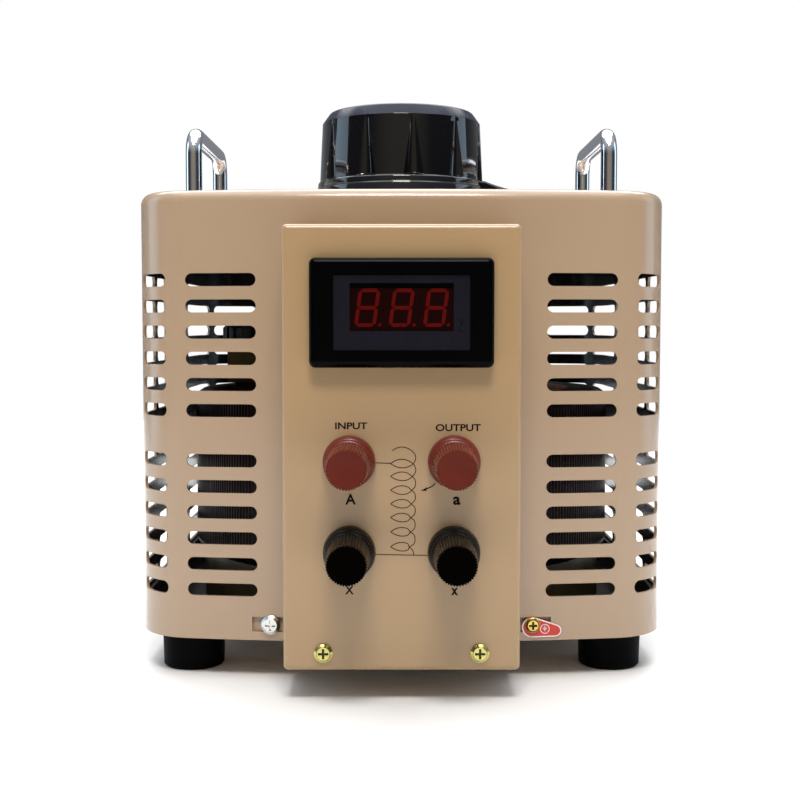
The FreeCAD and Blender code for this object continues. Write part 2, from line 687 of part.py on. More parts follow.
# ---------------------------------------------------------------- feet
def make_feet():
    """Four moulded feet and the screws through them."""
    foot = turned("foot", [
        ("screw_shank_radius + screw_hole_clearance", "foot_bore_depth"),
        ("foot_bore_radius", "foot_bore_depth"), ("foot_bore_radius", "0"),
        ("foot_bottom_radius - 1", "0"), ("foot_bottom_radius", "1"),
        ("foot_top_radius", "foot_height"),
        ("screw_shank_radius + screw_hole_clearance", "foot_height")], place=("0", "0", "0"))
    copies("rubber_feet", foot, [(x, y, "0") for x, y in FEET])
    head_z = "foot_bore_depth - screw_head_height"
    screw = turned("foot_screw", [
        ("0", head_z), ("casing_screw_head", head_z), ("casing_screw_head", "foot_bore_depth"),
        ("screw_shank_radius", "foot_bore_depth"), ("screw_shank_radius", "floor_z + 3"),
        ("0", "floor_z + 3")], place=("0", "0", "0"))
    copies("foot_screws", screw, [(x, y, "0") for x, y in FEET])


# ---------------------------------------------------------------- front panel
def panel_block(name, inset):
    """The panel's outer form, or its hollow when inset by the sheet, with rounded edges."""
    depth = f"panel_stand_off + {sag('panel_width / 2')}"
    half = f"(panel_width / 2 - {inset})"
    top = f"(panel_height - {inset})"
    body, pad = padded(name, "XZ_Plane", [
        (f"-{half}", inset), (half, inset), (half, top), (f"-{half}", top)],
        depth, ("0", f"panel_y + {depth} + {inset}", "panel_bottom"))
    doc.recompute()
    near = pad.Shape.BoundBox.YMin
    round_edges(body, name + "_bends", pad,
                lambda e: at_level(e, "Y", near) or e.BoundBox.YLength > 1,
                f"panel_bend_radius - {inset}")
    return body


def make_front_panel():
    """The raised front box of bent sheet that carries the meter and the terminals."""
    body = panel_block("panel_blank", "0")
    hollow = panel_block("panel_hollow", "panel_sheet")
    tools = [hollow, rod("panel_bow", "bow_radius + panel_gap", "panel_height * 2",
                         ("0", "bow_y", "panel_bottom - panel_height / 2"))]
    tools.append(box("meter_way", ("barrel_width + 2 * barrel_gap", "4 * panel_sheet",
                                   "barrel_height + 2 * barrel_gap"),
                     ("-barrel_width / 2 - barrel_gap", "panel_y - panel_sheet",
                      "meter_z - barrel_height / 2 - barrel_gap")))
    for index, (x, z) in enumerate(POSTS.values()):
        tools.append(rod(f"post_way_{index}", "spigot_radius + spigot_gap", "4 * panel_sheet",
                         (x, "panel_y + 2 * panel_sheet", z), "front"))
    for side, label in ((-1, "left"), (1, "right")):
        tools.append(rod(f"panel_screw_way_{label}", "screw_shank_radius + screw_hole_clearance",
                         "4 * panel_sheet", (f"{side} * panel_screw_x",
                                             "panel_y + 2 * panel_sheet", "panel_screw_z"),
                         "front"))
    return cut("front_panel", body, *tools)


def make_panel_brackets():
    """The angle under the tray that the panel screws into, and the one over its top."""
    half = "foot_bracket_width / 2"
    low = "foot_height - bracket_sheet"
    leg = box("foot_bracket_leg", ("foot_bracket_width",
                                   "panel_stand_off - panel_sheet + foot_bracket_tongue",
                                   "bracket_sheet"), (f"-{half}", "rear_panel_y", low))
    lip = box("foot_bracket_lip_plate", ("foot_bracket_width", "bracket_sheet",
                                         "foot_bracket_lip"), (f"-{half}", "rear_panel_y", low))
    ways = [rod(f"bracket_way_{side + 1}", "screw_shank_radius + screw_hole_clearance",
                "4 * bracket_sheet", (f"{side} * panel_screw_x", "rear_panel_y + 3 * "
                                      "bracket_sheet", "panel_screw_z"), "front")
            for side in (-1, 1)]
    cut("panel_foot_bracket", fuse("foot_bracket_blank", leg, lip), *ways)
    half = "top_bracket_width / 2"
    top = "panel_top - panel_sheet"
    shelf = box("top_bracket_shelf", ("top_bracket_width",
                                      f"top_bracket_reach + {sag(half)}", "bracket_sheet"),
                (f"-{half}", "front_y - top_bracket_reach", f"{top} - bracket_sheet"))
    back = box("top_bracket_back", ("top_bracket_width", f"bracket_sheet + {sag(half)}",
                                    "top_bracket_lip"),
               (f"-{half}", "front_y - bracket_sheet", f"{top} - top_bracket_lip"))
    bow = rod("top_bracket_bow", "bow_radius", "panel_height",
              ("0", "bow_y", "panel_bottom + panel_height / 2"))
    cut("panel_top_bracket", fuse("top_bracket_blank", shelf, back), bow)


# ---------------------------------------------------------------- handles
def make_handle(name, side):
    """A plated rod bent to a low arch over one side of the top, with a stud at each end."""
    x = f"{side} * handle_x"
    bend, bar_z = "handle_bend_radius", "handle_top - handle_rod_radius"
    pieces = []
    for end, label in ((-1, "front"), (1, "rear")):
        y = f"casing_y + {end} * handle_span / 2"
        pieces.append(rod(f"{name}_{label}_leg", "handle_rod_radius",
                          f"{bar_z} - {bend} - top_z", (x, y, "top_z")))
        pieces.append(rod(f"{name}_{label}_stud", "handle_stud_radius",
                          "handle_stud_length", (x, y, "top_z - handle_stud_length")))
        corner = doc.addObject("Part::Torus", f"{name}_{label}_bend")
        corner.Angle3 = 90
        bind(corner, Radius1=bend, Radius2="handle_rod_radius")
        across = Vector(0, end, 0)
        put(corner, x, f"casing_y + {end} * (handle_span / 2 - {bend})", f"{bar_z} - {bend}",
            Rotation(across, UP, across.cross(UP), "XYZ"))
        pieces.append(corner)
    pieces.append(rod(f"{name}_bar", "handle_rod_radius", f"handle_span - 2 * {bend}",
                      (x, f"casing_y + handle_span / 2 - {bend}", bar_z), "front"))
    return fuse(name, *pieces)


def make_handle_nuts():
    """The nuts that pull the handles down, under the casing's top."""
    nuts = []
    low = "top_z - casing_sheet - handle_nut_height"
    for index, (side, end) in enumerate(HANDLE_SPOTS):
        x, y = f"{side} * handle_x", f"casing_y + {end} * handle_span / 2"
        blank = hexagon(f"handle_nut_blank_{index}", "handle_nut_radius", "handle_nut_height",
                        (x, y, low))
        nuts.append(cut(f"handle_nut_{index}", blank,
                        rod(f"handle_nut_bore_{index}", "handle_stud_radius + bush_seat_gap",
                            "handle_nut_height + 2", (x, y, f"{low} - 1"))))
    return group("handle_nuts", nuts)


# ---------------------------------------------------------------- dial, shaft and knob
def make_dial():
    """The flat dial ring on the casing's top, and the pin that stops the knob."""
    plate = turned("dial_blank", tube_profile("dial_hole_radius", "dial_radius", "top_z",
                                              "dial_top"))
    cut("dial_plate", plate, hole_up("dial_pin_way", "stop_pin_radius + screw_hole_clearance",
                                     "0", "casing_y + stop_pin_offset", "top_z", "dial_top"))
    ceiling = "top_z - casing_sheet"
    turned("stop_post", [
        ("0", f"{ceiling} - stop_head_height"),
        ("stop_head_radius", f"{ceiling} - stop_head_height"), ("stop_head_radius", ceiling),
        ("stop_pin_radius", ceiling), ("stop_pin_radius", "dial_top + stop_pin_rise"),
        ("0", "dial_top + stop_pin_rise")], place=("0", "casing_y + stop_pin_offset", "0"))


def make_shaft():
    """The spindle that joins the knob above to the brush gear below."""
    return turned("shaft", [
        ("0", "shaft_bottom"), ("shaft_radius - 1", "shaft_bottom"),
        ("shaft_radius", "shaft_bottom + 1"), ("shaft_radius", "shaft_top - 1"),
        ("shaft_radius - 1", "shaft_top"), ("0", "shaft_top")])


def make_knob():
    """The round hand knob: a flared skirt with a pointer nose under a fluted grip."""
    cavity = "knob_z + knob_cavity_height"
    body = turned("knob_blank", [
        ("shaft_radius + shaft_running_gap", "knob_z"), ("knob_boss_radius", "knob_z"),
        ("knob_boss_radius", cavity), ("knob_cavity_radius", cavity),
        ("knob_cavity_radius", "knob_z"), ("knob_base_radius + 1.5", "knob_z"),
        ("knob_base_radius + 0.5", "knob_ring_z"), ("knob_base_radius", "knob_ring_z"),
        ("knob_base_radius", "knob_grip_z"),
        ("knob_top_radius", "knob_top - knob_bevel"),
        ("knob_top_radius - knob_bevel", "knob_top"), ("0", "knob_top + 0.8"),
        ("0", "shaft_top + 1"), ("shaft_radius + shaft_running_gap", "shaft_top + 1")])
    lean = "atan((knob_base_radius - knob_top_radius) / knob_grip_height)"
    flutes = []
    count = int(num("knob_flutes"))
    for index in range(count):
        flute = doc.addObject("Part::Cone", f"flute_{index}")
        bind(flute, Radius1="flute_bottom_radius", Radius2="flute_top_radius",
             Height="knob_grip_height")
        angle = f"{index + 0.5} * 360 / knob_flutes"
        reach = "(knob_base_radius + flute_bottom_radius * 0.36)"
        put(flute, f"{reach} * cos({angle})", f"casing_y + {reach} * sin({angle})",
            "knob_grip_z")
        heading = (index + 0.5) * 2 * math.pi / count
        sideways = Vector(math.sin(heading), -math.cos(heading), 0)
        turn(flute, f"{lean} + 1 deg", sideways)
        flutes.append(flute)
    grip = cut("knob_grip", body, *flutes)
    nose, _ = padded("pointer_nose", "XZ_Plane", [
        ("knob_base_radius - 3", "0"), ("pointer_reach", "0"),
        ("pointer_reach", "pointer_tip_height"),
        ("knob_base_radius - 3", "pointer_height")], "pointer_root_width",
        ("0", "casing_y + pointer_root_width / 2", "knob_z"))
    taper, _ = padded("pointer_taper", "XY_Plane", [
        ("knob_base_radius - 4", "-pointer_root_width / 2"),
        ("pointer_reach", "-pointer_tip_width / 2"), ("pointer_reach", "pointer_tip_width / 2"),
        ("knob_base_radius - 4", "pointer_root_width / 2")], "2 * pointer_height",
        ("0", "casing_y", "knob_z - pointer_height / 2"))
    pointer = doc.addObject("Part::Common", "pointer")
    pointer.Base = nose
    pointer.Tool = taper
    stop = box("knob_stop", ("knob_cavity_radius - knob_boss_radius + 1",
                             "2 * knob_stop_half", "knob_cavity_height - 1.5"),
               ("-knob_cavity_radius - 0.5", "casing_y - knob_stop_half", "knob_z + 2"))
    whole = fuse("knob_whole", grip, pointer, stop)
    way = rod("knob_grub_way", "grub_radius + screw_hole_clearance",
              "knob_base_radius", ("-shaft_radius", "casing_y", "knob_grub_z"), "left")
    return cut("knob", whole, way)


def make_grub_screws():
    """The set screws that lock the knob and the brush hub to the shaft."""
    screws = []
    for name, z in (("knob", "knob_grub_z"), ("hub", "hub_grub_z")):
        blank = rod(f"{name}_grub_blank", "grub_radius", "grub_length",
                    ("-shaft_radius - 0.1", "casing_y", z), "left")
        key = hexagon(f"{name}_grub_key", "grub_radius / 2", "grub_length / 2",
                      ("-shaft_radius - 0.1 - grub_length / 2", "casing_y", z), "left")
        screws.append(cut(f"{name}_grub_screw", blank, key))
    return group("grub_screws", screws)


# ---------------------------------------------------------------- core and winding
def make_core():
    """The wound steel core, its end cheeks, the winding round it and the board below."""
    bottom = "winding_bottom + winding_wall"
    top = "winding_top - winding_wall"
    inner = "winding_bore + winding_wall + cheek_clearance"
    outer = "winding_radius - winding_wall - cheek_clearance"
    gap = "cheek_clearance"
    turned("core", tube_profile(f"{inner} + 1", f"{outer} - 1",
                                f"{bottom} + cheek_thickness + 2 * {gap}",
                                f"{top} - cheek_thickness - 2 * {gap}"))
    cheeks = [
        turned("lower_cheek", tube_profile(inner, outer, f"{bottom} + {gap}",
                                           f"{bottom} + {gap} + cheek_thickness")),
        turned("upper_cheek", tube_profile(inner, outer, f"{top} - {gap} - cheek_thickness",
                                           f"{top} - {gap}"))]
    group("core_cheeks", cheeks)
    low, high, edge = "winding_bottom", "winding_top", "winding_round"
    near, far = "winding_bore", "winding_radius"
    outside = [
        (f"{near} + {edge}", low), (f"{far} - {edge}", low),
        (f"{far} - {edge} * 0.3", f"{low} + {edge} * 0.3"), (far, f"{low} + {edge}"),
        (far, f"{high} - {edge}"), (f"{far} - {edge} * 0.3", f"{high} - {edge} * 0.3"),
        (f"{far} - {edge}", high), (f"{near} + {edge}", high),
        (f"{near} + {edge} * 0.3", f"{high} - {edge} * 0.3"), (near, f"{high} - {edge}"),
        (near, f"{low} + {edge}"), (f"{near} + {edge} * 0.3", f"{low} + {edge} * 0.3")]
    inside = tube_profile("winding_bore + winding_wall", "winding_radius - winding_wall",
                          bottom, top)
    winding = turned("winding", outside, inside, angle="winding_arc")
    turn(winding, "90 + (360 - winding_arc) / 2")
    board = turned("insulator_blank", tube_profile("insulator_inner", "insulator_outer",
                                                   "floor_z", "winding_bottom"))
    way = rod("insulator_way", "lead_radius + lead_gap", "insulator_outer",
              ("0", "casing_y", "brush_lead_z"), "front")
    way.Placement = Placement(Vector(), Rotation(UP, BRUSH_LEAD_ANGLE) * FACING["right"])
    cut("base_insulator", board, way)


def make_bearing_tube():
    """The flanged post on the tray, inside the core's bore, that the shaft turns in."""
    blank = turned("tube_blank", [
        ("tube_bore", "floor_z"), ("tube_flange_radius", "floor_z"),
        ("tube_flange_radius", "floor_z + tube_flange_thickness"),
        ("tube_radius", "floor_z + tube_flange_thickness"), ("tube_radius", "tube_top"),
        ("tube_bore", "tube_top")])
    cut("bearing_tube", blank,
        *bolt_ways("flange_bolt_way", "floor_z", "floor_z + tube_flange_thickness"))
    inner, outer = "shaft_radius + shaft_running_gap", "tube_bore - bush_seat_gap"
    turned("lower_bush", tube_profile(inner, outer, "shaft_bottom",
                                      "shaft_bottom + bush_length"))
    turned("upper_bush", tube_profile(inner, outer, "tube_top - bush_length", "tube_top"))


def make_clamp():
    """The dished ring that presses the winding down, with its three long bolts."""
    web_z = "winding_top - clamp_dish_depth"
    bore = "tube_radius + clamp_bore_gap"
    blank = turned("clamp_blank", [
        (bore, web_z), ("clamp_dish_radius", web_z), ("clamp_dish_radius", "winding_top"),
        ("clamp_radius", "winding_top"), ("clamp_radius", "winding_top + clamp_sheet"),
        ("clamp_dish_radius - clamp_sheet", "winding_top + clamp_sheet"),
        ("clamp_dish_radius - clamp_sheet", f"{web_z} + clamp_web"),
        (bore, f"{web_z} + clamp_web")])
    cut("clamp_ring", blank, *bolt_ways("clamp_bolt_way", web_z, f"{web_z} + clamp_web"))
    nut_z = f"{web_z} + clamp_web"
    top = f"{nut_z} + clamp_nut_height + 1"
    bolts, nuts = [], []
    for index, (x, y) in enumerate(BOLTS):
        head = hexagon(f"bolt_head_{index}", "clamp_bolt_head", "clamp_bolt_head_height",
                       (x, y, "foot_height - clamp_bolt_head_height"))
        shank = rod(f"bolt_shank_{index}", "clamp_bolt_radius", f"{top} - foot_height",
                    (x, y, "foot_height"))
        bolts.append(fuse(f"clamp_bolt_{index}", head, shank))
        blank = hexagon(f"clamp_nut_blank_{index}", "clamp_bolt_head", "clamp_nut_height",
                        (x, y, nut_z))
        nuts.append(cut(f"clamp_nut_{index}", blank,
                        rod(f"clamp_nut_bore_{index}", "clamp_bolt_radius + bush_seat_gap",
                            "clamp_nut_height + 2", (x, y, f"{nut_z} - 1"))))
    group("clamp_bolts", bolts)
    group("clamp_nuts", nuts)


# ---------------------------------------------------------------- brush gear
def make_brush_gear():
    """The hub, cooling disc, brush box, spring and ribbed cap that sweep over the winding."""
    seat = "tube_top + hub_seat_gap"
    blank = turned("hub_blank", [
        ("shaft_radius + bush_seat_gap", seat), ("hub_sleeve_radius", seat),
        ("hub_sleeve_radius", "disc_z - hub_flange_height"),
        ("hub_flange_radius", "disc_z - hub_flange_height"), ("hub_flange_radius", "disc_z"),
        ("hub_radius", "disc_z"), ("hub_radius", "hub_z"),
        ("shaft_radius + bush_seat_gap", "hub_z")])
    way = rod("hub_grub_way", "grub_radius + screw_hole_clearance", "2 * hub_radius",
              ("-shaft_radius", "casing_y", "hub_grub_z"), "left")
    cut("brush_hub", blank, way)
    turned("brush_disc", tube_profile("hub_radius + bush_seat_gap", "disc_radius", "disc_z",
                                      "disc_z + disc_thickness"))
    wall = "holder_wall"
    wide = f"brush_width + 2 * brush_slide_gap + 2 * {wall}"
    long = f"brush_length + 2 * brush_slide_gap + 2 * {wall}"
    shell = box("holder_shell", (long, wide, "holder_height"),
                (f"-brush_radius - ({long}) / 2", f"casing_y - ({wide}) / 2", "holder_z"))
    arm = box("holder_arm", ("brush_radius - holder_arm_inner", "holder_arm_width",
                             "holder_arm_sheet"),
              ("-brush_radius", "casing_y - holder_arm_width / 2", "disc_z + disc_thickness"))
    inner = "brush_length + 2 * brush_slide_gap"
    across = "brush_width + 2 * brush_slide_gap"
    channel = box("holder_channel", (inner, across, "2 * holder_height"),
                  (f"-brush_radius - ({inner}) / 2", f"casing_y - ({across}) / 2",
                   "holder_z - holder_height / 2"))
    cut("brush_holder", fuse("holder_blank", shell, arm), channel)
    box("carbon_brush", ("brush_length", "brush_width", "brush_height"),
        ("-brush_radius - brush_length / 2", "casing_y - brush_width / 2",
         "winding_top + brush_track_gap"))
    roof = "holder_top + cap_height - cap_roof"
    turned("brush_spring", tube_profile("spring_inner", "spring_outer", "brush_top", roof),
           place=("-brush_radius", "casing_y", "0"))
    cap = turned("cap_blank", [
        ("cap_bore", "holder_top"), ("cap_radius", "holder_top"),
        ("cap_radius", "holder_top + cap_height - 2"),
        ("cap_radius - 2", "holder_top + cap_height"), ("0", "holder_top + cap_height"),
        ("0", roof), ("cap_bore", roof)], place=("-brush_radius", "casing_y", "0"))
    gaps = []
    for index in range(int(num("cap_ribs"))):
        angle = f"{index} * 360 / cap_ribs"
        groove = box(f"cap_groove_{index}", ("cap_rib_gap_depth * 2", "cap_rib_gap_width",
                                             "cap_height * 2"),
                     (f"-brush_radius + (cap_radius - cap_rib_gap_depth) * cos({angle})"
                      f" + cap_rib_gap_width / 2 * sin({angle})",
                      f"casing_y + (cap_radius - cap_rib_gap_depth) * sin({angle})"
                      f" - cap_rib_gap_width / 2 * cos({angle})",
                      "holder_top - cap_height / 2"))
        gaps.append(turn(groove, angle))
    cut("brush_cap", cap, *gaps)


# ---------------------------------------------------------------- voltmeter
def make_meter():
    """The snap-in digital voltmeter: bezel and barrel, window, display, board and clips."""
    front = "panel_y - bezel_thickness"
    bezel, pad = padded("bezel_block", "XZ_Plane", rectangle("bezel_width", "bezel_height"),
                        "bezel_thickness", ("0", "panel_y", "meter_z"))
    doc.recompute()
    near = pad.Shape.BoundBox.YMin
    round_edges(bezel, "bezel_edges", pad,
                lambda e: at_level(e, "Y", near) or e.BoundBox.YLength > 1, "bezel_round")

    def centred(name, width, depth, height, y):
        return box(name, (width, depth, height),
                   (f"-({width}) / 2", y, f"meter_z - ({height}) / 2"))

    barrel = centred("barrel_block", "barrel_width", "barrel_depth", "barrel_height", "panel_y")
    hollow = centred("barrel_hollow", "barrel_width - 2 * barrel_wall", "barrel_depth",
                     "barrel_height - 2 * barrel_wall", "panel_y")
    recess = centred("face_recess_tool", "face_width", "2 * face_recess", "face_height",
                     f"{front} - face_recess")
    opening = centred("led_opening", "led_width + 2 * led_gap", "3 * bezel_thickness",
                      "led_height + 2 * led_gap", front)
    cut("meter_case", fuse("meter_blank", bezel, barrel), hollow, recess, opening)
    centred("meter_window", "face_width - 2 * window_gap", "window_thickness",
            "face_height - 2 * window_gap", f"{front} + face_recess - window_thickness")
    led_y = f"{front} + face_recess"
    centred("led_display", "led_width", "led_depth", "led_height", led_y)
    board_y = f"{led_y} + led_depth"
    board = centred("board_plate", "barrel_width - 2 * barrel_wall - 2 * board_gap",
                    "board_thickness", "barrel_height - 2 * barrel_wall - 2 * board_gap",
                    board_y)
    part_y = f"{board_y} + board_thickness"
    transformer = box("board_transformer", ("transformer_length", "transformer_depth",
                                            "transformer_height"),
                      ("-transformer_offset", part_y, "meter_z - transformer_height / 2"))
    terminal = box("board_terminal", ("terminal_length", "terminal_depth", "terminal_height"),
                   ("terminal_offset", part_y, "meter_z - terminal_drop"))
    fuse("meter_board", board, transformer, terminal)
    clips = []
    for side, x in ((-1, "-barrel_width / 2 - clip_thickness"), (1, "barrel_width / 2")):
        clips.append(box(f"meter_clip_{side + 1}", ("clip_thickness", "clip_length",
                                                    "clip_width"),
                         (x, "rear_panel_y", "meter_z - clip_width / 2")))
    group("meter_clips", clips)


# ---------------------------------------------------------------- terminals
POSTS = {
    "input_live": ("-post_x", "upper_post_z"), "input_neutral": ("-post_x", "lower_post_z"),
    "output_live": ("post_x", "upper_post_z"), "output_neutral": ("post_x", "lower_post_z"),
}


def post_copies(name, master, posts, y="panel_y"):
    """One copy of a terminal piece at each of the named posts."""
    return copies(name, master, [(POSTS[post][0], y, POSTS[post][1]) for post in posts])


def make_terminals():
    """The four binding posts, front to back, each cap and washer its own piece."""
    bore = "stud_radius + stud_gap"
    collar = turned("collar", [
        (bore, "-panel_sheet"), ("spigot_radius", "-panel_sheet"), ("spigot_radius", "0"),
        ("collar_radius", "0"), ("collar_radius", "collar_thickness - 1"),
        ("collar_front_radius", "collar_thickness"), (bore, "collar_thickness")],
        place=("0", "0", "0"), facing="front")
    post_copies("post_collars_red", collar, ["input_live", "output_live"])
    post_copies("post_collars_black", collar, ["input_neutral", "output_neutral"])
    front = "collar_thickness + washer_thickness + stud_in_cap"
    stud = turned("stud", [("0", "-stud_rear"), ("stud_radius", "-stud_rear"),
                           ("stud_radius", front), ("0", front)],
                  place=("0", "0", "0"), facing="front")
    post_copies("post_studs", stud, POSTS)
    insulator = turned("post_insulator", tube_profile(bore, "insulator_radius",
                                                      "-insulator_thickness", "0"),
                       place=("0", "0", "0"), facing="front")
    post_copies("rear_insulators", insulator, POSTS, "rear_panel_y")
    washer = turned("post_washer", tube_profile(bore, "washer_radius", "0", "washer_thickness"),
                    place=("0", "0", "0"), facing="front")
    cap = turned("post_cap", [
        (bore, "0"), ("cap_base_radius", "0"), ("cap_base_radius", "cap_base_length"),
        ("cap_waist_radius", "cap_base_length + 0.6"),
        ("cap_front_radius", "cap_length - cap_edge"),
        ("cap_front_radius - cap_edge", "cap_length"), ("0", "cap_length"),
        ("0", "cap_bore_depth"), (bore, "cap_bore_depth")],
        place=("0", "0", "0"), facing="front")
    for post in POSTS:
        post_copies(f"washer_{post}", washer, [post], "collar_y")
        post_copies(f"cap_{post}", cap, [post], "washer_y")
    make_rear_fittings(bore)


def make_rear_fittings(bore):
    """Behind the panel on each post: a nut, a solder tag with its tail outward, a nut."""
    nut_y = "rear_panel_y + insulator_thickness"
    tag_y = f"{nut_y} + post_nut_height"
    nuts, tags = [], []
    for name, (x, z) in POSTS.items():
        for label, y in (("inner", nut_y), ("outer", f"{tag_y} + tag_thickness")):
            blank = hexagon(f"{name}_{label}_nut_blank", "post_nut_radius", "post_nut_height",
                            (x, y, z), "rear")
            hole = rod(f"{name}_{label}_nut_bore", bore, "2 * post_nut_height",
                       (x, f"{y} - 1", z), "rear")
            nuts.append(cut(f"{name}_{label}_nut", blank, hole))
        low = x if x == "post_x" else "-post_x - tag_tail"
        ring = rod(f"{name}_tag_ring", "tag_radius", "tag_thickness", (x, tag_y, z), "rear")
        tail = box(f"{name}_tag_tail", ("tag_tail", "tag_thickness", "tag_tail_width"),
                   (low, tag_y, f"{z} - tag_tail_width / 2"))
        hole = rod(f"{name}_tag_bore", bore, "4 * tag_thickness",
                   (x, f"{tag_y} - tag_thickness", z), "rear")
        tags.append(cut(f"{name}_tag", fuse(f"{name}_tag_blank", ring, tail), hole))
    group("post_nuts", nuts)
    group("solder_tags", tags)


# ---------------------------------------------------------------- internal leads
def bent_lead(name, points, radius):
    """A round lead along straight runs joined by arcs as large as the runs allow."""
    edges, last = [], points[0]
    for before, corner, after in zip(points, points[1:], points[2:]):
        into, out = corner - before, after - corner
        half = into.getAngle(out) / 2
        trim = 0.45 * min(into.Length, out.Length)
        bend = trim / math.tan(half)
        start = corner - into.normalize() * trim
        end = corner + out.normalize() * trim
        inward = (out - into).normalize()
        centre = corner + inward * (bend / math.cos(half))
        edges.append(Part.LineSegment(last, start).toShape())
        edges.append(Part.Arc(start, centre - inward * bend, end).toShape())
        last = end
    edges.append(Part.LineSegment(last, points[-1]).toShape())
    path = Part.Wire(edges)
    heading = (points[1] - points[0]).normalize()
    ring = Part.Wire(Part.Circle(points[0], heading, radius).toShape())
    return feature(name, path.makePipeShell([ring], True, True))


def round_axis(radius, angle, z):
    """A point at a radius and an angle about the shaft."""
    heading = math.radians(angle)
    return Vector(radius * math.cos(heading), num("casing_y") + radius * math.sin(heading), z)


def make_leads():
    """The insulated leads inside, along hand-chosen routes between their two ends."""
    radius = num("lead_radius")
    tag_y = (num("rear_panel_y") + num("insulator_thickness") + num("post_nut_height")
             + num("tag_thickness"))
    front, panel = num("front_y"), num("panel_y")
    upper, lower = num("upper_post_z"), num("lower_post_z")
    tail = num("post_x") + num("tag_tail")
    outer, inner = tail - radius - 0.1, tail - 3 * radius - 0.4
    hole_x, hole_z = num("wire_hole_x"), num("wire_hole_z")
    tap = num("winding_radius") + num("tap_gap")
    bent_lead("lead_live", [
        Vector(-outer, tag_y, upper), Vector(-outer, tag_y + 10, upper),
        Vector(-hole_x + 3, front - 1, hole_z + 3), Vector(-hole_x, front + 6, hole_z - 13),
        round_axis(tap + 6.5, 246, 50), round_axis(tap, 246, 49)], radius)
    bent_lead("lead_neutral", [
        Vector(-outer, tag_y, lower), Vector(-outer, tag_y + 10, lower),
        Vector(-hole_x - 1, front - 1, hole_z - 1), Vector(-hole_x - 9, front + 9, hole_z - 13),
        round_axis(tap + 8, 238, 46), round_axis(tap, 238, 45)], radius)
    bent_lead("lead_link", [
        Vector(-inner, tag_y, lower), Vector(-inner, tag_y + 9, lower),
        Vector(-12, tag_y + 12, lower - 9), Vector(12, tag_y + 12.5, lower - 10),
        Vector(inner, tag_y + 9, lower), Vector(inner, tag_y, lower)], radius)
    notch_z = num("brush_lead_z")
    bent_lead("lead_brush", [
        Vector(outer, tag_y, upper), Vector(outer, tag_y + 10, upper),
        Vector(hole_x, front - 1, hole_z + 3), Vector(hole_x + 5, front + 7, hole_z - 13),
        round_axis(103, BRUSH_LEAD_ANGLE, notch_z + 20),
        round_axis(101, BRUSH_LEAD_ANGLE, notch_z),
        round_axis(num("tube_flange_radius") + num("tap_gap"), BRUSH_LEAD_ANGLE,
                   notch_z + 0.2)], radius)
    board_y = (panel - num("bezel_thickness") + num("face_recess") + num("led_depth")
               + num("board_thickness") + num("terminal_depth"))
    meter = num("meter_z")
    bent_lead("lead_meter", [
        Vector(14, board_y, meter - 6), Vector(14, panel + 24.5, meter - 6),
        Vector(21, panel + 24, upper + 22), Vector(inner, panel + 18, upper),
        Vector(inner, tag_y, upper)], radius)


# ---------------------------------------------------------------- build, check and write
NODES = [
    "casing", "base_plate", "front_panel", "panel_foot_bracket", "panel_top_bracket",
    "panel_screws", "casing_screws", "earth_screw", "earth_label", "rubber_feet",
    "foot_screws", "handle_left", "handle_right", "handle_nuts", "dial_plate", "stop_post",
    "core", "core_cheeks", "winding", "base_insulator", "bearing_tube", "lower_bush",
    "upper_bush", "clamp_ring", "clamp_bolts", "clamp_nuts", "meter_case", "meter_window",
    "led_display", "meter_board", "meter_clips", "post_collars_red", "post_collars_black",
    "post_studs", "rear_insulators", "post_nuts", "solder_tags", "lead_live",
    "lead_neutral", "lead_link", "lead_brush", "lead_meter", "shaft", "knob",
    "grub_screws", "brush_hub", "brush_disc", "brush_holder", "brush_cap", "brush_spring",
    "carbon_brush",
] + [f"{piece}_{post}" for post in POSTS for piece in ("washer", "cap")]


def build():
    """Makes every piece of the transformer."""
    make_casing()
    make_base_plate()
    make_front_panel()
    make_panel_brackets()
    make_screws()
    make_earth_label()
    make_feet()
    make_handle("handle_left", -1)
    make_handle("handle_right", 1)
    make_handle_nuts()
    make_dial()
    make_core()
    make_bearing_tube()
    make_clamp()
    make_shaft()
    make_knob()
    make_grub_screws()
    make_brush_gear()
    make_meter()
    make_terminals()
    make_leads()
    doc.recompute()


def check():
    """Stops if any object failed or any piece is empty or invalid."""
    for item in doc.Objects:
        if "Invalid" in item.State or "Error" in item.State:
            raise RuntimeError(f"{item.Label} failed: {item.State}")
    for node in NODES:
        shape = doc.getObject(node).Shape
        if shape.isNull() or not shape.isValid() or not shape.Solids:
            raise RuntimeError(f"{node} has no valid solid")


def write():
    """Writes one STEP file for each node."""
    os.makedirs("parts", exist_ok=True)
    for node in NODES:
        doc.getObject(node).Shape.exportStep(f"parts/{node}.step")


build()
check()
write()
print(f"{len(NODES)} nodes written")
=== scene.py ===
"""Looks of the bench variable autotransformer: finishes for its parts, and the pieces with fine shapes."""
import json
import math
import random

import bmesh
import bpy
from mathutils import Matrix, Vector


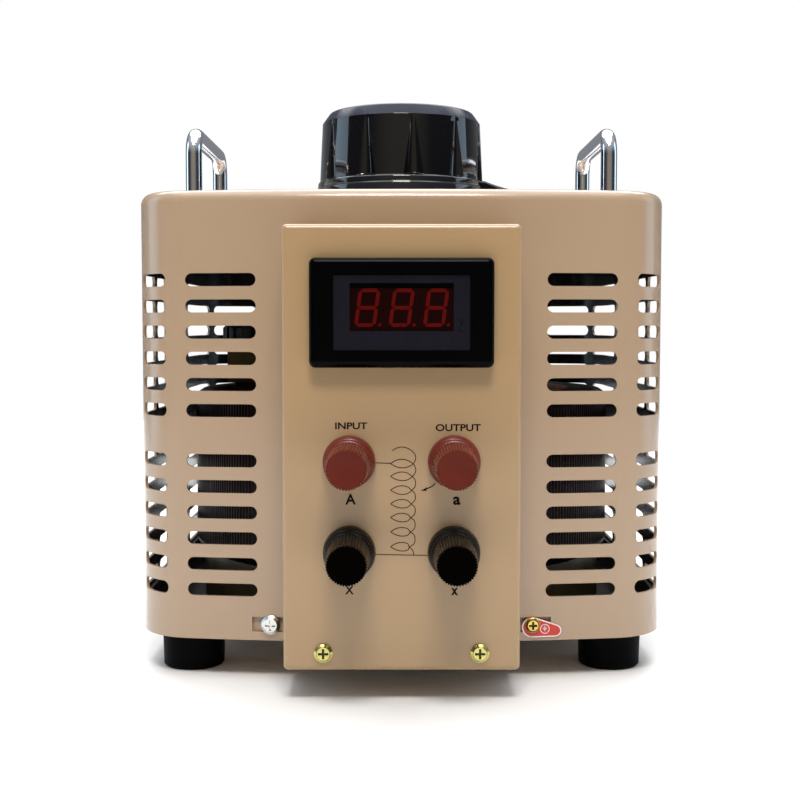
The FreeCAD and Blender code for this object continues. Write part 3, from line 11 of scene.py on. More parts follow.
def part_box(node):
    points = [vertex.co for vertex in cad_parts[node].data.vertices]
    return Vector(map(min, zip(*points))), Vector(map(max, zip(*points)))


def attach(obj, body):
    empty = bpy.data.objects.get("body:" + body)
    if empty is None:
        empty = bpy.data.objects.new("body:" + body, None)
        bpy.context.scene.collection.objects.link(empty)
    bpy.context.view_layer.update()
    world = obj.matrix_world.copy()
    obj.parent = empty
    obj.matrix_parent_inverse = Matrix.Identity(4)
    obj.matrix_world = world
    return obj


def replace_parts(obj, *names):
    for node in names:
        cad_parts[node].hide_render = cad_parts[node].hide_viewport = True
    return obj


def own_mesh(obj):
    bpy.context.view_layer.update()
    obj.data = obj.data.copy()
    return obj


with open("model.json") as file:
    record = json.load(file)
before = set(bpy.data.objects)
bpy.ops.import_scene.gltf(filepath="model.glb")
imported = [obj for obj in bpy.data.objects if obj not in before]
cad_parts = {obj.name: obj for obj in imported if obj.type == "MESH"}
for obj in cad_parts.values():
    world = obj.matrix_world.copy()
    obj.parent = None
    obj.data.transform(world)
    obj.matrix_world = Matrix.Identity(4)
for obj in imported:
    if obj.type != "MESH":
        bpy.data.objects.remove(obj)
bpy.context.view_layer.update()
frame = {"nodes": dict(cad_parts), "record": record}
NODES = frame["nodes"]
random.seed(7)
MM = 0.001

SHAFT = Vector((0.0, 28.0, 0.0))
PANEL_Y = -100.0
POINTER_ANGLE = 0.0
POSTS = {
    "input_live": (-19.3, 90.2), "input_neutral": (-19.3, 56.7),
    "output_live": (19.3, 90.2), "output_neutral": (19.3, 56.7),
}


# ---------------------------------------------------------------- node groups and finishes
def new_group(name, inputs, outputs):
    """An empty shader node group with its sockets, and its inlet and outlet nodes."""
    group = bpy.data.node_groups.new(name, "ShaderNodeTree")
    for label, kind, value in inputs:
        made = group.interface.new_socket(label, in_out="INPUT", socket_type=kind)
        made.default_value = value
    for label, kind in outputs:
        group.interface.new_socket(label, in_out="OUTPUT", socket_type=kind)
    return group, group.nodes.new("NodeGroupInput"), group.nodes.new("NodeGroupOutput")


def add_noise(tree, vector, scale, detail):
    """A noise texture over a vector, with its scale linked or set."""
    noise = tree.nodes.new("ShaderNodeTexNoise")
    noise.inputs["Detail"].default_value = detail
    tree.links.new(vector, noise.inputs["Vector"])
    if isinstance(scale, (int, float)):
        noise.inputs["Scale"].default_value = scale
    else:
        tree.links.new(scale, noise.inputs["Scale"])
    return noise.outputs["Fac"]


def add_math(tree, kind, a, b):
    """A maths node over two sockets or numbers."""
    node = tree.nodes.new("ShaderNodeMath")
    node.operation = kind
    for slot, value in zip(node.inputs, (a, b)):
        if isinstance(value, (int, float)):
            slot.default_value = value
        else:
            tree.links.new(value, slot)
    return node.outputs[0]


def add_range(tree, value, from_low, from_high, to_low=0.0, to_high=1.0):
    """Maps a value from one range to another, clamped."""
    node = tree.nodes.new("ShaderNodeMapRange")
    tree.links.new(value, node.inputs["Value"])
    for label, limit in (("From Min", from_low), ("From Max", from_high),
                         ("To Min", to_low), ("To Max", to_high)):
        if isinstance(limit, (int, float)):
            node.inputs[label].default_value = limit
        else:
            tree.links.new(limit, node.inputs[label])
    return node.outputs["Result"]


def add_mix(tree, factor, a, b, blend="MIX"):
    """Mixes two colours."""
    node = tree.nodes.new("ShaderNodeMix")
    node.data_type = "RGBA"
    node.blend_type = blend
    colours = [slot for slot in node.inputs if slot.type == "RGBA"]
    for slot, value in zip((node.inputs["Factor"], *colours), (factor, a, b)):
        if isinstance(value, bpy.types.NodeSocket):
            tree.links.new(value, slot)
        else:
            slot.default_value = value
    return next(slot for slot in node.outputs if slot.type == "RGBA")


def object_place(tree):
    """The place on the object, in metres."""
    return tree.nodes.new("ShaderNodeTexCoord").outputs["Object"]


def group_uneven_tone():
    """Darkens a colour a little in soft patches."""
    group, inlet, outlet = new_group("uneven_tone", [
        ("Colour", "NodeSocketColor", (0.5, 0.5, 0.5, 1)), ("Shade", "NodeSocketFloat", 0.1),
        ("Scale", "NodeSocketFloat", 40.0)], [("Colour", "NodeSocketColor")])
    patches = add_noise(group, object_place(group), inlet.outputs["Scale"], 4.0)
    amount = add_math(group, "MULTIPLY", add_range(group, patches, 0.35, 0.7),
                      inlet.outputs["Shade"])
    mixed = add_mix(group, amount, inlet.outputs["Colour"], (0.2, 0.17, 0.14, 1), "MULTIPLY")
    group.links.new(mixed, outlet.inputs["Colour"])
    return group


def group_handled_gloss():
    """Roughness that wanders between a smooth and a dull value, as on a handled surface."""
    group, inlet, outlet = new_group("handled_gloss", [
        ("Smooth", "NodeSocketFloat", 0.2), ("Dull", "NodeSocketFloat", 0.4),
        ("Scale", "NodeSocketFloat", 60.0)], [("Roughness", "NodeSocketFloat")])
    smears = add_noise(group, object_place(group), inlet.outputs["Scale"], 5.0)
    result = add_range(group, smears, 0.3, 0.7, inlet.outputs["Smooth"], inlet.outputs["Dull"])
    group.links.new(result, outlet.inputs["Roughness"])
    return group


def group_fine_relief():
    """Small bumps from stretched noise: orange peel, moulding grain, brushing or wire drawing."""
    group, inlet, outlet = new_group("fine_relief", [
        ("Stretch", "NodeSocketVector", (1.0, 1.0, 1.0)), ("Scale", "NodeSocketFloat", 600.0),
        ("Depth", "NodeSocketFloat", 0.00002)], [("Normal", "NodeSocketVector")])
    spread = group.nodes.new("ShaderNodeVectorMath")
    spread.operation = "MULTIPLY"
    group.links.new(object_place(group), spread.inputs[0])
    group.links.new(inlet.outputs["Stretch"], spread.inputs[1])
    height = add_noise(group, spread.outputs[0], inlet.outputs["Scale"], 2.0)
    bump = group.nodes.new("ShaderNodeBump")
    bump.inputs["Strength"].default_value = 1.0
    group.links.new(height, bump.inputs["Height"])
    group.links.new(inlet.outputs["Depth"], bump.inputs["Distance"])
    group.links.new(bump.outputs["Normal"], outlet.inputs["Normal"])
    return group


def group_settled_dust():
    """Lays pale dust on what faces up."""
    group, inlet, outlet = new_group("settled_dust", [
        ("Colour", "NodeSocketColor", (0.5, 0.5, 0.5, 1)), ("Amount", "NodeSocketFloat", 0.2)],
        [("Colour", "NodeSocketColor")])
    facing = group.nodes.new("ShaderNodeSeparateXYZ")
    group.links.new(group.nodes.new("ShaderNodeNewGeometry").outputs["Normal"], facing.inputs[0])
    upward = add_range(group, facing.outputs["Z"], 0.4, 1.0)
    specks = add_range(group, add_noise(group, object_place(group), 300.0, 5.0), 0.4, 0.7)
    amount = add_math(group, "MULTIPLY", add_math(group, "MULTIPLY", upward, specks),
                      inlet.outputs["Amount"])
    mixed = add_mix(group, amount, inlet.outputs["Colour"], (0.55, 0.52, 0.47, 1))
    group.links.new(mixed, outlet.inputs["Colour"])
    return group


UNEVEN_TONE = group_uneven_tone()
HANDLED_GLOSS = group_handled_gloss()
FINE_RELIEF = group_fine_relief()
SETTLED_DUST = group_settled_dust()


def place_group(tree, group, **values):
    """Places a node group in a material with its own values, and gives back its first output."""
    node = tree.nodes.new("ShaderNodeGroup")
    node.node_tree = group
    for label, value in values.items():
        slot = node.inputs[label]
        if isinstance(value, bpy.types.NodeSocket):
            tree.links.new(value, slot)
        else:
            slot.default_value = value
    return node.outputs[0]


def rgba(colour):
    """Linear colour with full alpha."""
    return (*colour, 1.0)


FINISHES = {}


def finish(name, colour, gloss, tone, tone_scale, relief, relief_scale, stretch=(1.0, 1.0, 1.0),
           dust=0.0, **shader_values):
    """Makes and keeps a finish: uneven colour, handled gloss, fine relief and the shader's own values."""
    material = bpy.data.materials.new(name)
    material.use_nodes = True
    tree = material.node_tree
    shader = tree.nodes["Principled BSDF"]
    tint = place_group(tree, UNEVEN_TONE, Colour=rgba(colour), Shade=tone, Scale=tone_scale)
    if dust:
        tint = place_group(tree, SETTLED_DUST, Colour=tint, Amount=dust)
    tree.links.new(tint, shader.inputs["Base Color"])
    smooth, dull = gloss
    tree.links.new(place_group(tree, HANDLED_GLOSS, Smooth=smooth, Dull=dull, Scale=70.0),
                   shader.inputs["Roughness"])
    tree.links.new(place_group(tree, FINE_RELIEF, Stretch=stretch, Scale=relief_scale,
                               Depth=relief), shader.inputs["Normal"])
    for label, value in shader_values.items():
        shader.inputs[label.replace("_", " ")].default_value = value
    FINISHES[name] = material
    return material


finish("casing_paint", (0.378, 0.266, 0.172), (0.235, 0.255), 0.02, 12, 2.0e-5, 1300, dust=0.02,
       Coat_Weight=0.4, Coat_Roughness=0.14)
finish("panel_paint", (0.362, 0.236, 0.116), (0.25, 0.27), 0.02, 12, 2.0e-5, 1300, Coat_Weight=0.3,
       Coat_Roughness=0.16)
finish("tray_paint", (0.385, 0.270, 0.173), (0.3, 0.4), 0.06, 20, 1.5e-5, 900)
finish("bracket_zinc", (0.58, 0.58, 0.57), (0.28, 0.42), 0.2, 60, 1e-5, 700, Metallic=1.0)
finish("handle_chrome", (0.80, 0.81, 0.84), (0.03, 0.07), 0.03, 30, 2e-6, 300, Metallic=1.0)
finish("bright_zinc", (0.72, 0.72, 0.7), (0.16, 0.3), 0.2, 200, 1.2e-5, 1500, Metallic=1.0)
finish("yellow_zinc", (0.66, 0.6, 0.2), (0.14, 0.28), 0.25, 250, 1.2e-5, 1500, Metallic=1.0)
finish("recess_shade", (0.07, 0.065, 0.03), (0.4, 0.5), 0.2, 200, 1.2e-5, 1500, Metallic=0.6)
finish("terminal_brass", (0.80, 0.55, 0.13), (0.14, 0.28), 0.2, 200, 1e-5, 1500, Metallic=1.0)
finish("label_red", (0.56, 0.024, 0.003), (0.3, 0.4), 0.12, 300, 8e-6, 2500, Coat_Weight=0.2)
finish("foot_rubber", (0.0018, 0.0018, 0.002), (0.5, 0.65), 0.3, 120, 3e-5, 1500,
       Specular_IOR_Level=0.04)
finish("dial_aluminium", (0.27, 0.275, 0.28), (0.45, 0.55), 0.08, 60, 6e-6, 1500, (1.0, 0.05, 1.0),
       Metallic=0.5)
finish("cast_aluminium", (0.4, 0.4, 0.41), (0.42, 0.6), 0.2, 80, 6e-5, 700, dust=0.1, Metallic=1.0)
finish("shaft_steel", (0.5, 0.51, 0.53), (0.2, 0.32), 0.12, 90, 8e-6, 900, (0.2, 0.2, 3.0),
       Metallic=1.0)
finish("core_steel", (0.16, 0.16, 0.18), (0.4, 0.55), 0.3, 90, 4e-5, 500, (1.0, 1.0, 0.05),
       Metallic=0.9)
finish("cheek_card", (0.36, 0.27, 0.15), (0.6, 0.75), 0.3, 90, 4e-5, 900)
# dark brown board, made darker still as painted shade for the inside of the casing
finish("laminated_board", (0.085, 0.058, 0.02), (0.35, 0.5), 0.45, 150, 6e-5, 260, (0.3, 0.3, 6.0),
       Specular_IOR_Level=0.3)
# dark bronze, made darker still as painted shade for the inside of the casing
finish("holder_bronze_painted_shade", (0.11, 0.075, 0.03), (0.35, 0.5), 0.3, 200, 2e-5, 1500, Metallic=0.8)
finish("bush_bronze", (0.6, 0.36, 0.15), (0.3, 0.45), 0.2, 200, 2e-5, 1500, Metallic=1.0)
finish("knob_black", (0.0035, 0.0035, 0.0045), (0.05, 0.1), 0.2, 60, 3e-6, 500, Coat_Weight=0.5,
       Coat_Roughness=0.04)
# a bluish copy of the knob's black for its bevelled top: a painted blue reflection
finish("knob_bevel", (0.009, 0.012, 0.028), (0.2, 0.3), 0.2, 60, 3e-6, 500, Specular_IOR_Level=0.2)
finish("meter_plastic", (0.0008, 0.0007, 0.0008), (0.14, 0.22), 0.2, 60, 4e-6, 900,
       Specular_IOR_Level=0.04)
finish("meter_tint", (0.0065, 0.006, 0.0105), (0.24, 0.3), 0.1, 60, 3e-6, 900, Specular_IOR_Level=0.13)
finish("led_red", (0.0075, 0.0005, 0.0005), (0.2, 0.28), 0.15, 90, 3e-6, 900, Specular_IOR_Level=0.06)
finish("board_green", (0.015, 0.09, 0.03), (0.3, 0.42), 0.3, 250, 1e-5, 1500)
finish("post_red", (0.13, 0.011, 0.0065), (0.26, 0.36), 0.15, 90, 6e-6, 900, Specular_IOR_Level=0.45)
finish("post_black", (0.0025, 0.0025, 0.0022), (0.26, 0.36), 0.15, 90, 6e-6, 900,
       Specular_IOR_Level=0.3)
finish("cap_face_red", (0.105, 0.0155, 0.0085), (0.45, 0.55), 0.15, 90, 6e-6, 900,
       Specular_IOR_Level=0.1)
finish("cap_face_black", (0.0013, 0.0011, 0.0009), (0.45, 0.55), 0.15, 90, 6e-6, 900,
       Specular_IOR_Level=0.0)
finish("insulator_black", (0.012, 0.012, 0.012), (0.35, 0.5), 0.2, 90, 1e-5, 900)
finish("lead_red", (0.2, 0.003, 0.012), (0.3, 0.42), 0.2, 120, 1e-5, 900)
finish("lead_black", (0.008, 0.008, 0.008), (0.35, 0.5), 0.2, 120, 1e-5, 900)
finish("brush_carbon", (0.02, 0.02, 0.022), (0.5, 0.7), 0.4, 700, 3e-5, 2200)
finish("spring_steel", (0.5, 0.5, 0.52), (0.2, 0.35), 0.2, 200, 6e-6, 900, Metallic=1.0)
finish("print_black", (0.002, 0.002, 0.002), (0.4, 0.5), 0.1, 200, 3e-6, 2000, Specular_IOR_Level=0.06)
finish("print_white", (0.75, 0.76, 0.78), (0.35, 0.45), 0.06, 200, 3e-6, 2000)
finish("print_silver", (0.72, 0.75, 0.78), (0.25, 0.35), 0.06, 200, 3e-6, 2000, Metallic=0.3)
finish("segment_red", (0.075, 0.0012, 0.0005), (0.35, 0.45), 0.1, 200, 3e-6, 2000,
       Specular_IOR_Level=0.06)


def darken_inside(material, level_facing, from_height):
    """Painted shade on a box's inward walls, and on its level faces that face one way above a height:
    near-black mixed over the paint, standing in for the unlit inside.
    """
    tree = material.node_tree
    shader = tree.nodes["Principled BSDF"]
    outside = shader.inputs["Base Color"].links[0].from_socket
    geometry = tree.nodes.new("ShaderNodeNewGeometry")
    from_axis = tree.nodes.new("ShaderNodeVectorMath")
    from_axis.operation = "SUBTRACT"
    tree.links.new(object_place(tree), from_axis.inputs[0])
    from_axis.inputs[1].default_value = (0, SHAFT.y * MM, 0)
    level = tree.nodes.new("ShaderNodeVectorMath")
    level.operation = "MULTIPLY"
    tree.links.new(from_axis.outputs[0], level.inputs[0])
    level.inputs[1].default_value = (1, 1, 0)
    outward = tree.nodes.new("ShaderNodeVectorMath")
    outward.operation = "DOT_PRODUCT"
    tree.links.new(level.outputs[0], outward.inputs[0])
    tree.links.new(geometry.outputs["True Normal"], outward.inputs[1])
    facing = tree.nodes.new("ShaderNodeSeparateXYZ")
    tree.links.new(geometry.outputs["True Normal"], facing.inputs[0])
    place = tree.nodes.new("ShaderNodeSeparateXYZ")
    tree.links.new(object_place(tree), place.inputs[0])
    wall = add_range(tree, outward.outputs["Value"], -0.02, -0.04)
    level_face = add_math(tree, "MULTIPLY", add_range(tree, facing.outputs["Z"], 0.7 * level_facing,
                                                      0.9 * level_facing),
                          add_range(tree, place.outputs["Z"], from_height, from_height + 0.002))
    inner_shade = add_math(tree, "MAXIMUM", wall, level_face)
    # the painted shade colour, near-black, laid over the paint inside
    tree.links.new(add_mix(tree, inner_shade, outside, (0.012, 0.010, 0.009, 1)),
                   shader.inputs["Base Color"])


# painted shade inside the casing: its inward walls and the underside of its top
darken_inside(FINISHES["casing_paint"], level_facing=-1, from_height=0.188)
# painted shade inside the tray: its inward walls and the faces that look up
darken_inside(FINISHES["tray_paint"], level_facing=1, from_height=0.0)


# ---------------------------------------------------------------- mesh helpers
def new_piece(name, mesh, body, material, smooth=True):
    """Adds a mesh piece, in millimetres until here, with its finish, on its body."""
    mesh.transform(Matrix.Scale(MM, 4))
    piece = bpy.data.objects.new(name, mesh)
    bpy.context.scene.collection.objects.link(piece)
    mesh.materials.append(material)
    for face in mesh.polygons:
        face.use_smooth = smooth
    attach(piece, body)
    return piece


def second_finish(piece, finish_name, chosen):
    """Gives a second finish to the faces of a piece that are chosen."""
    if len(piece.data.materials) == 1:
        piece.data.materials.append(FINISHES[finish_name])
    for face in piece.data.polygons:
        if chosen(face):
            face.material_index = 1


def mesh_from(points, faces):
    """A mesh from points and faces, with its normals made to face out."""
    mesh = bpy.data.meshes.new("mesh")
    mesh.from_pydata([tuple(p) for p in points], [], faces)
    built = bmesh.new()
    built.from_mesh(mesh)
    bmesh.ops.recalc_face_normals(built, faces=built.faces)
    built.to_mesh(mesh)
    built.free()
    return mesh


def ring_faces(rings, around, closed_rings=False):
    """Quads between rings of points, each ring closed on itself."""
    faces = []
    last = rings if closed_rings else rings - 1
    for ring in range(last):
        low, high = ring * around, ((ring + 1) % rings) * around
        for i in range(around):
            j = (i + 1) % around
            faces.append((low + i, low + j, high + j, high + i))
    return faces


def end_faces(rings, around):
    """The flat faces on the first and the last ring of points."""
    last = (rings - 1) * around
    return [tuple(range(around))[::-1], tuple(last + i for i in range(around))]


def lathe(profile, around=96, ripple=None):
    """A turned form about +Z from (radius, height) pairs; ripple(angle, index) adds to a radius."""
    points = []
    for index, (radius, height) in enumerate(profile):
        for step in range(around):
            angle = 2 * math.pi * step / around
            reach = radius + (ripple(angle, index) if ripple else 0.0)
            points.append(Vector((reach * math.cos(angle), reach * math.sin(angle), height)))
    return points, ring_faces(len(profile), around) + end_faces(len(profile), around)


def rounded(profile, radius, steps):
    """Rounds the corners of an open profile by up to a radius, with arcs of a few steps."""
    made = [profile[0]]
    for before, here, after in zip(profile, profile[1:], profile[2:]):
        p, q, r = Vector(before), Vector(here), Vector(after)
        to_p, to_r = (p - q), (r - q)
        reach = min(radius, to_p.length * 0.45, to_r.length * 0.45)
        if reach < 1e-6:
            made.append(here)
            continue
        start, end = q + to_p.normalized() * reach, q + to_r.normalized() * reach
        for step in range(steps + 1):
            t = step / steps
            made.append(tuple((1 - t) ** 2 * start + 2 * t * (1 - t) * q + t * t * end))
    made.append(profile[-1])
    return made


def moved(points, matrix):
    """Points after a matrix."""
    return [matrix @ p for p in points]


def joined(*forms):
    """One list of points and faces from several."""
    points, faces = [], []
    for form_points, form_faces in forms:
        start = len(points)
        points.extend(form_points)
        faces.extend(tuple(start + i for i in face) for face in form_faces)
    return points, faces


# corners 0 to 3 round one face, and 4 to 7 behind them
BOX_FACES = [(0, 1, 2, 3), (7, 6, 5, 4), (0, 4, 5, 1), (1, 5, 6, 2), (2, 6, 7, 3), (3, 7, 4, 0)]


def tube(path, radius, around):
    """A round tube along a path of points that doesn't run straight up."""
    points = []
    for i, here in enumerate(path):
        along = (path[min(i + 1, len(path) - 1)] - path[max(i - 1, 0)]).normalized()
        side = along.cross(Vector((0, 0, 1))).normalized()
        up = side.cross(along)
        for step in range(around):
            angle = 2 * math.pi * step / around
            points.append(here + radius * (side * math.cos(angle) + up * math.sin(angle)))
    return points, ring_faces(len(path), around) + end_faces(len(path), around)


def smooth_path(points, per_span):
    """A Catmull-Rom path through points."""
    ends = [2 * points[0] - points[1], *points, 2 * points[-1] - points[-2]]
    path = []
    for a, b, c, d in zip(ends, ends[1:], ends[2:], ends[3:]):
        for step in range(per_span):
            t = step / per_span
            path.append(0.5 * ((2 * b) + (c - a) * t + (2 * a - 5 * b + 4 * c - d) * t * t
                               + (3 * b - a - 3 * c + d) * t ** 3))
    path.append(points[-1])
    return path


PRINT_DEPTH = 0.03


def flat_line(path, width, lift):
    """A thin printed line on the front panel along (x, z) points."""
    points = []
    count = len(path)
    for i, here in enumerate(path):
        along = (path[min(i + 1, count - 1)] - path[max(i - 1, 0)]).normalized()
        side = Vector((-along.y, along.x)) * width / 2
        for x, z, y in ((*(here + side), lift), (*(here - side), lift),
                        (*(here - side), lift - PRINT_DEPTH), (*(here + side), lift - PRINT_DEPTH)):
            points.append(Vector((x, y, z)))
    return points, ring_faces(count, 4) + end_faces(count, 4)


def text_form(words, height, bold=0.0):
    """Points and faces of words in the built-in face, in the XY plane with their middle at the origin."""
    curve = bpy.data.curves.new("words", "FONT")
    curve.body = words
    curve.size = height
    curve.extrude = 0.02
    curve.offset = bold
    curve.resolution_u = 4
    carrier = bpy.data.objects.new("words", curve)
    bpy.context.scene.collection.objects.link(carrier)
    mesh = bpy.data.meshes.new_from_object(carrier)
    points = [v.co.copy() for v in mesh.vertices]
    faces = [tuple(p.vertices) for p in mesh.polygons]
    bpy.data.objects.remove(carrier)
    low = Vector((min(p.x for p in points), min(p.y for p in points), 0))
    high = Vector((max(p.x for p in points), max(p.y for p in points), 0))
    middle = (low + high) / 2
    return [p - middle for p in points], faces, high - low


def words_on_panel(words, centre, height, width, bold):
    """Printed words on the front panel, as tall and wide as given."""
    points, faces, size = text_form(words, height, bold)
    stretch_x, stretch_z = width / size.x, height / size.y
    placed = [Vector((centre[0] + p.x * stretch_x, PANEL_Y - PRINT_DEPTH - p.z,
                      centre[1] + p.y * stretch_z))
              for p in points]
    return placed, faces


# ---------------------------------------------------------------- winding
WINDING_TURNS = 290
WINDING_ARC = 344.0
WINDING_LIMITS = (50.0, 94.5, 40.0, 112.0)
WINDING_TOP = WINDING_LIMITS[3]
BRUSH_TRACK_RADIUS = 72.0
TRACK_HALF = 5.4
WIRE_HALF = 0.62
WIRE_SECTION = [(0.0, 1.0), (0.8, 0.6), (1.0, 0.0), (0.8, -0.6), (0.0, -1.0), (-0.8, -0.6), (-1.0, 0.0),
                (-0.8, 0.6)]


def winding_enamel():
    """Dark red enamelled wire, with a ring of bare copper where the brush runs."""
    # dark red enamel, made darker still as painted shade for the inside of the casing
    material = finish("winding_enamel", (0.014, 0.003, 0.003), (0.25, 0.4), 0.45, 120, 8e-6, 900,
                      Specular_IOR_Level=0.16)
    tree = material.node_tree
    shader = tree.nodes["Principled BSDF"]
    enamel = shader.inputs["Base Color"].links[0].from_socket
    spread = tree.nodes.new("ShaderNodeSeparateXYZ")
    tree.links.new(object_place(tree), spread.inputs[0])
    across = add_math(tree, "POWER", spread.outputs["X"], 2.0)
    along = add_math(tree, "POWER",
                     add_math(tree, "SUBTRACT", spread.outputs["Y"], SHAFT.y * MM), 2.0)
    radius = add_math(tree, "SQRT", add_math(tree, "ADD", across, along), 0.0)
    off_track = add_math(tree, "ABSOLUTE",
                         add_math(tree, "SUBTRACT", radius, BRUSH_TRACK_RADIUS * MM), 0.0)
    in_track = add_range(tree, off_track, TRACK_HALF * MM, (TRACK_HALF + 0.4) * MM, 1.0, 0.0)
    on_top = add_range(tree, spread.outputs["Z"], (WINDING_TOP - 0.5) * MM,
                       (WINDING_TOP - 0.3) * MM)
    bare = add_math(tree, "MULTIPLY", in_track, on_top)
    copper = place_group(tree, UNEVEN_TONE, Colour=(0.75, 0.33, 0.17, 1), Shade=0.5, Scale=150.0)
    tree.links.new(add_mix(tree, bare, enamel, copper), shader.inputs["Base Color"])
    tree.links.new(bare, shader.inputs["Metallic"])
    return material


def rounded_loop(low_r, high_r, low_z, high_z, corner):
    """A closed rectangle of (radius, height) pairs with round corners."""
    steps = 4
    loop = []
    for cr, cz, start in ((high_r - corner, high_z - corner, 0), (low_r + corner, high_z - corner, 90),
                          (low_r + corner, low_z + corner, 180), (high_r - corner, low_z + corner, 270)):
        for step in range(steps + 1):
            angle = math.radians(start + 90 * step / steps)
            loop.append((cr + corner * math.cos(angle), cz + corner * math.sin(angle)))
    return loop


def make_winding():
    """Every turn of the enamelled wire round the core, close together at the bore."""
    low_r, high_r, low_z, high_z = WINDING_LIMITS
    middle = rounded_loop(low_r + WIRE_HALF, high_r - WIRE_HALF, low_z + WIRE_HALF,
                          high_z - WIRE_HALF, 4.5)
    count = len(middle)
    normals = []
    for i in range(count):
        along = Vector(middle[(i + 1) % count]) - Vector(middle[i - 1])
        normals.append(Vector((along.y, -along.x)).normalized())
    pitch = math.radians(WINDING_ARC) / WINDING_TURNS
    first = math.radians(90 + (360 - WINDING_ARC) / 2) + pitch / 2
    points, faces = [], []
    for turn in range(WINDING_TURNS):
        angle = first + turn * pitch + random.uniform(-0.05, 0.05) * pitch
        start = len(points)
        for (r, z), normal in zip(middle, normals):
            for side, out in WIRE_SECTION:
                reach = r + normal.x * WIRE_HALF * out
                swing = angle + side * 0.47 * pitch
                points.append(SHAFT + Vector((reach * math.cos(swing), reach * math.sin(swing),
                                              z + normal.y * WIRE_HALF * out)))
        faces.extend(tuple(start + i for i in face)
                     for face in ring_faces(count, len(WIRE_SECTION), True))
    piece = new_piece("winding_turns", mesh_from(points, faces), "housing", winding_enamel())
    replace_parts(piece, "winding")


# ---------------------------------------------------------------- knob
KNOB_BOTTOM = 196.3
GRIP_FOOT, GRIP_HEAD = (37.5, 205.9), (36.2, 232.2)
KNOB_SKIRT = [(33.0, KNOB_BOTTOM), (39.8, KNOB_BOTTOM), (39.8, 197.1), (38.9, 202.4), (38.5, 202.9),
              (38.3, 205.3), GRIP_FOOT]
KNOB_CROWN = [(36.22, 232.0), GRIP_HEAD, (32.9, 236.8), (31.6, 237.2), (28.5, 237.2), (27.6, 236.7),
              (0.6, 236.5)]
GRIP_HEIGHTS = [206.1, 206.3, 206.5, 206.7, 206.9, 207.2, 207.8, *(208.5 + 1.5 * i for i in range(14)),
                229.8, 230.6, 231.3, 231.8]
KNOB_FLUTES = 11
FLUTE_FOOT, FLUTE_HEAD = 205.5, 232.4
FLUTE_HALF_ANGLES = (6.9, 1.0)
FLUTE_DEPTH = 2.9
FLUTE_COLUMNS, LAND_COLUMNS = 14, 8
INDEX_START, INDEX_LENGTH, INDEX_HALF = 42.0, 15.0, 0.35
INDEX_RINGS = 9


def knob_rows():
    """Radius and height of each ring of the knob, closer together where the flutes end."""
    (foot, low), (head, high) = GRIP_FOOT, GRIP_HEAD
    grip = [(foot + (head - foot) * (h - low) / (high - low), h) for h in GRIP_HEIGHTS]
    return [*rounded(KNOB_SKIRT, 0.45, 3), *grip, *rounded(KNOB_CROWN, 0.9, 4)[1:]]


def knob_reach(radius, height, across, half):
    """The grip's radius at an angle from the middle of the nearest flute."""
    if not FLUTE_FOOT <= height <= FLUTE_HEAD or abs(across) >= half:
        return radius
    rise = (height - FLUTE_FOOT) / (FLUTE_HEAD - FLUTE_FOOT)
    depth = FLUTE_DEPTH * (1 - rise) * (1 - (abs(across) / half) ** 2.3)
    shoulder = 38.0 - 2.3 * (height - FLUTE_FOOT)
    return max(radius - depth, min(radius, shoulder))


def make_knob():
    """The hand knob: a flared skirt, a fluted grip with a bevelled top, and a pointer nose."""
    rows = knob_rows()
    spacing = 2 * math.pi / KNOB_FLUTES
    wide, narrow = FLUTE_HALF_ANGLES
    points = []
    for radius, height in rows:
        rise = min(1.0, max(0.0, (height - FLUTE_FOOT) / (FLUTE_HEAD - FLUTE_FOOT)))
        half = math.radians(wide * (1 - rise) + narrow * rise)
        for flute in range(KNOB_FLUTES):
            middle = POINTER_ANGLE + (flute + 0.5) * spacing
            offsets = [half * (2 * i / FLUTE_COLUMNS - 1) for i in range(FLUTE_COLUMNS)]
            offsets += [half + (spacing - 2 * half) * i / LAND_COLUMNS for i in range(LAND_COLUMNS)]
            for across in offsets:
                reach = knob_reach(radius, height, across, half) if radius > 33 else radius
                angle = middle + across
                points.append(SHAFT + Vector((reach * math.cos(angle), reach * math.sin(angle), height)))
    around = KNOB_FLUTES * (FLUTE_COLUMNS + LAND_COLUMNS)
    faces = ring_faces(len(rows), around) + end_faces(len(rows), around)
    mesh = mesh_from(*joined((points, faces), make_nose()))
    piece = new_piece("knob_body", mesh, "rotor", FINISHES["knob_black"])
    # the bevelled top takes the bluish copy of the knob's black, a painted reflection
    second_finish(piece, "knob_bevel", lambda face: face.center.z > (GRIP_HEAD[1] + 0.4) * MM)
    piece.data.set_sharp_from_angle(angle=math.radians(28))
    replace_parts(piece, "knob")
    line = []
    for ring in range(INDEX_RINGS):
        reach = INDEX_START + INDEX_LENGTH * ring / (INDEX_RINGS - 1)
        here = Vector((reach, SHAFT.y, nose_height(reach, 0.0) + 0.02))
        for side, lift in ((-INDEX_HALF, 0.03), (INDEX_HALF, 0.03), (INDEX_HALF, -0.1),
                           (-INDEX_HALF, -0.1)):
            line.append(here + Vector((0, side, lift)))
    new_piece("knob_index_line",
              mesh_from(line, ring_faces(INDEX_RINGS, 4) + end_faces(INDEX_RINGS, 4)), "rotor",
              FINISHES["print_white"], smooth=False)


NOSE_ROOT, NOSE_TIP = 33.0, 58.0
NOSE_ROOT_HALF, NOSE_TIP_HALF = 17.0, 2.3
NOSE_FALL_START = 38.0


def nose_half_width(reach):
    """Half the pointer nose's width at a distance from the shaft."""
    t = (reach - NOSE_ROOT) / (NOSE_TIP - NOSE_ROOT)
    return NOSE_ROOT_HALF * (1 - t) ** 1.15 + NOSE_TIP_HALF * t


def nose_height(reach, across):
    """Height of the nose's top, which sweeps down in a hollow and rounds off at its sides."""
    t = min(1.0, max(0.0, (reach - NOSE_FALL_START) / (NOSE_TIP - NOSE_FALL_START)))
    return KNOB_BOTTOM + 5.7 + 4.4 * (1 - t) ** 1.6 - 1.8 * abs(across) ** 3


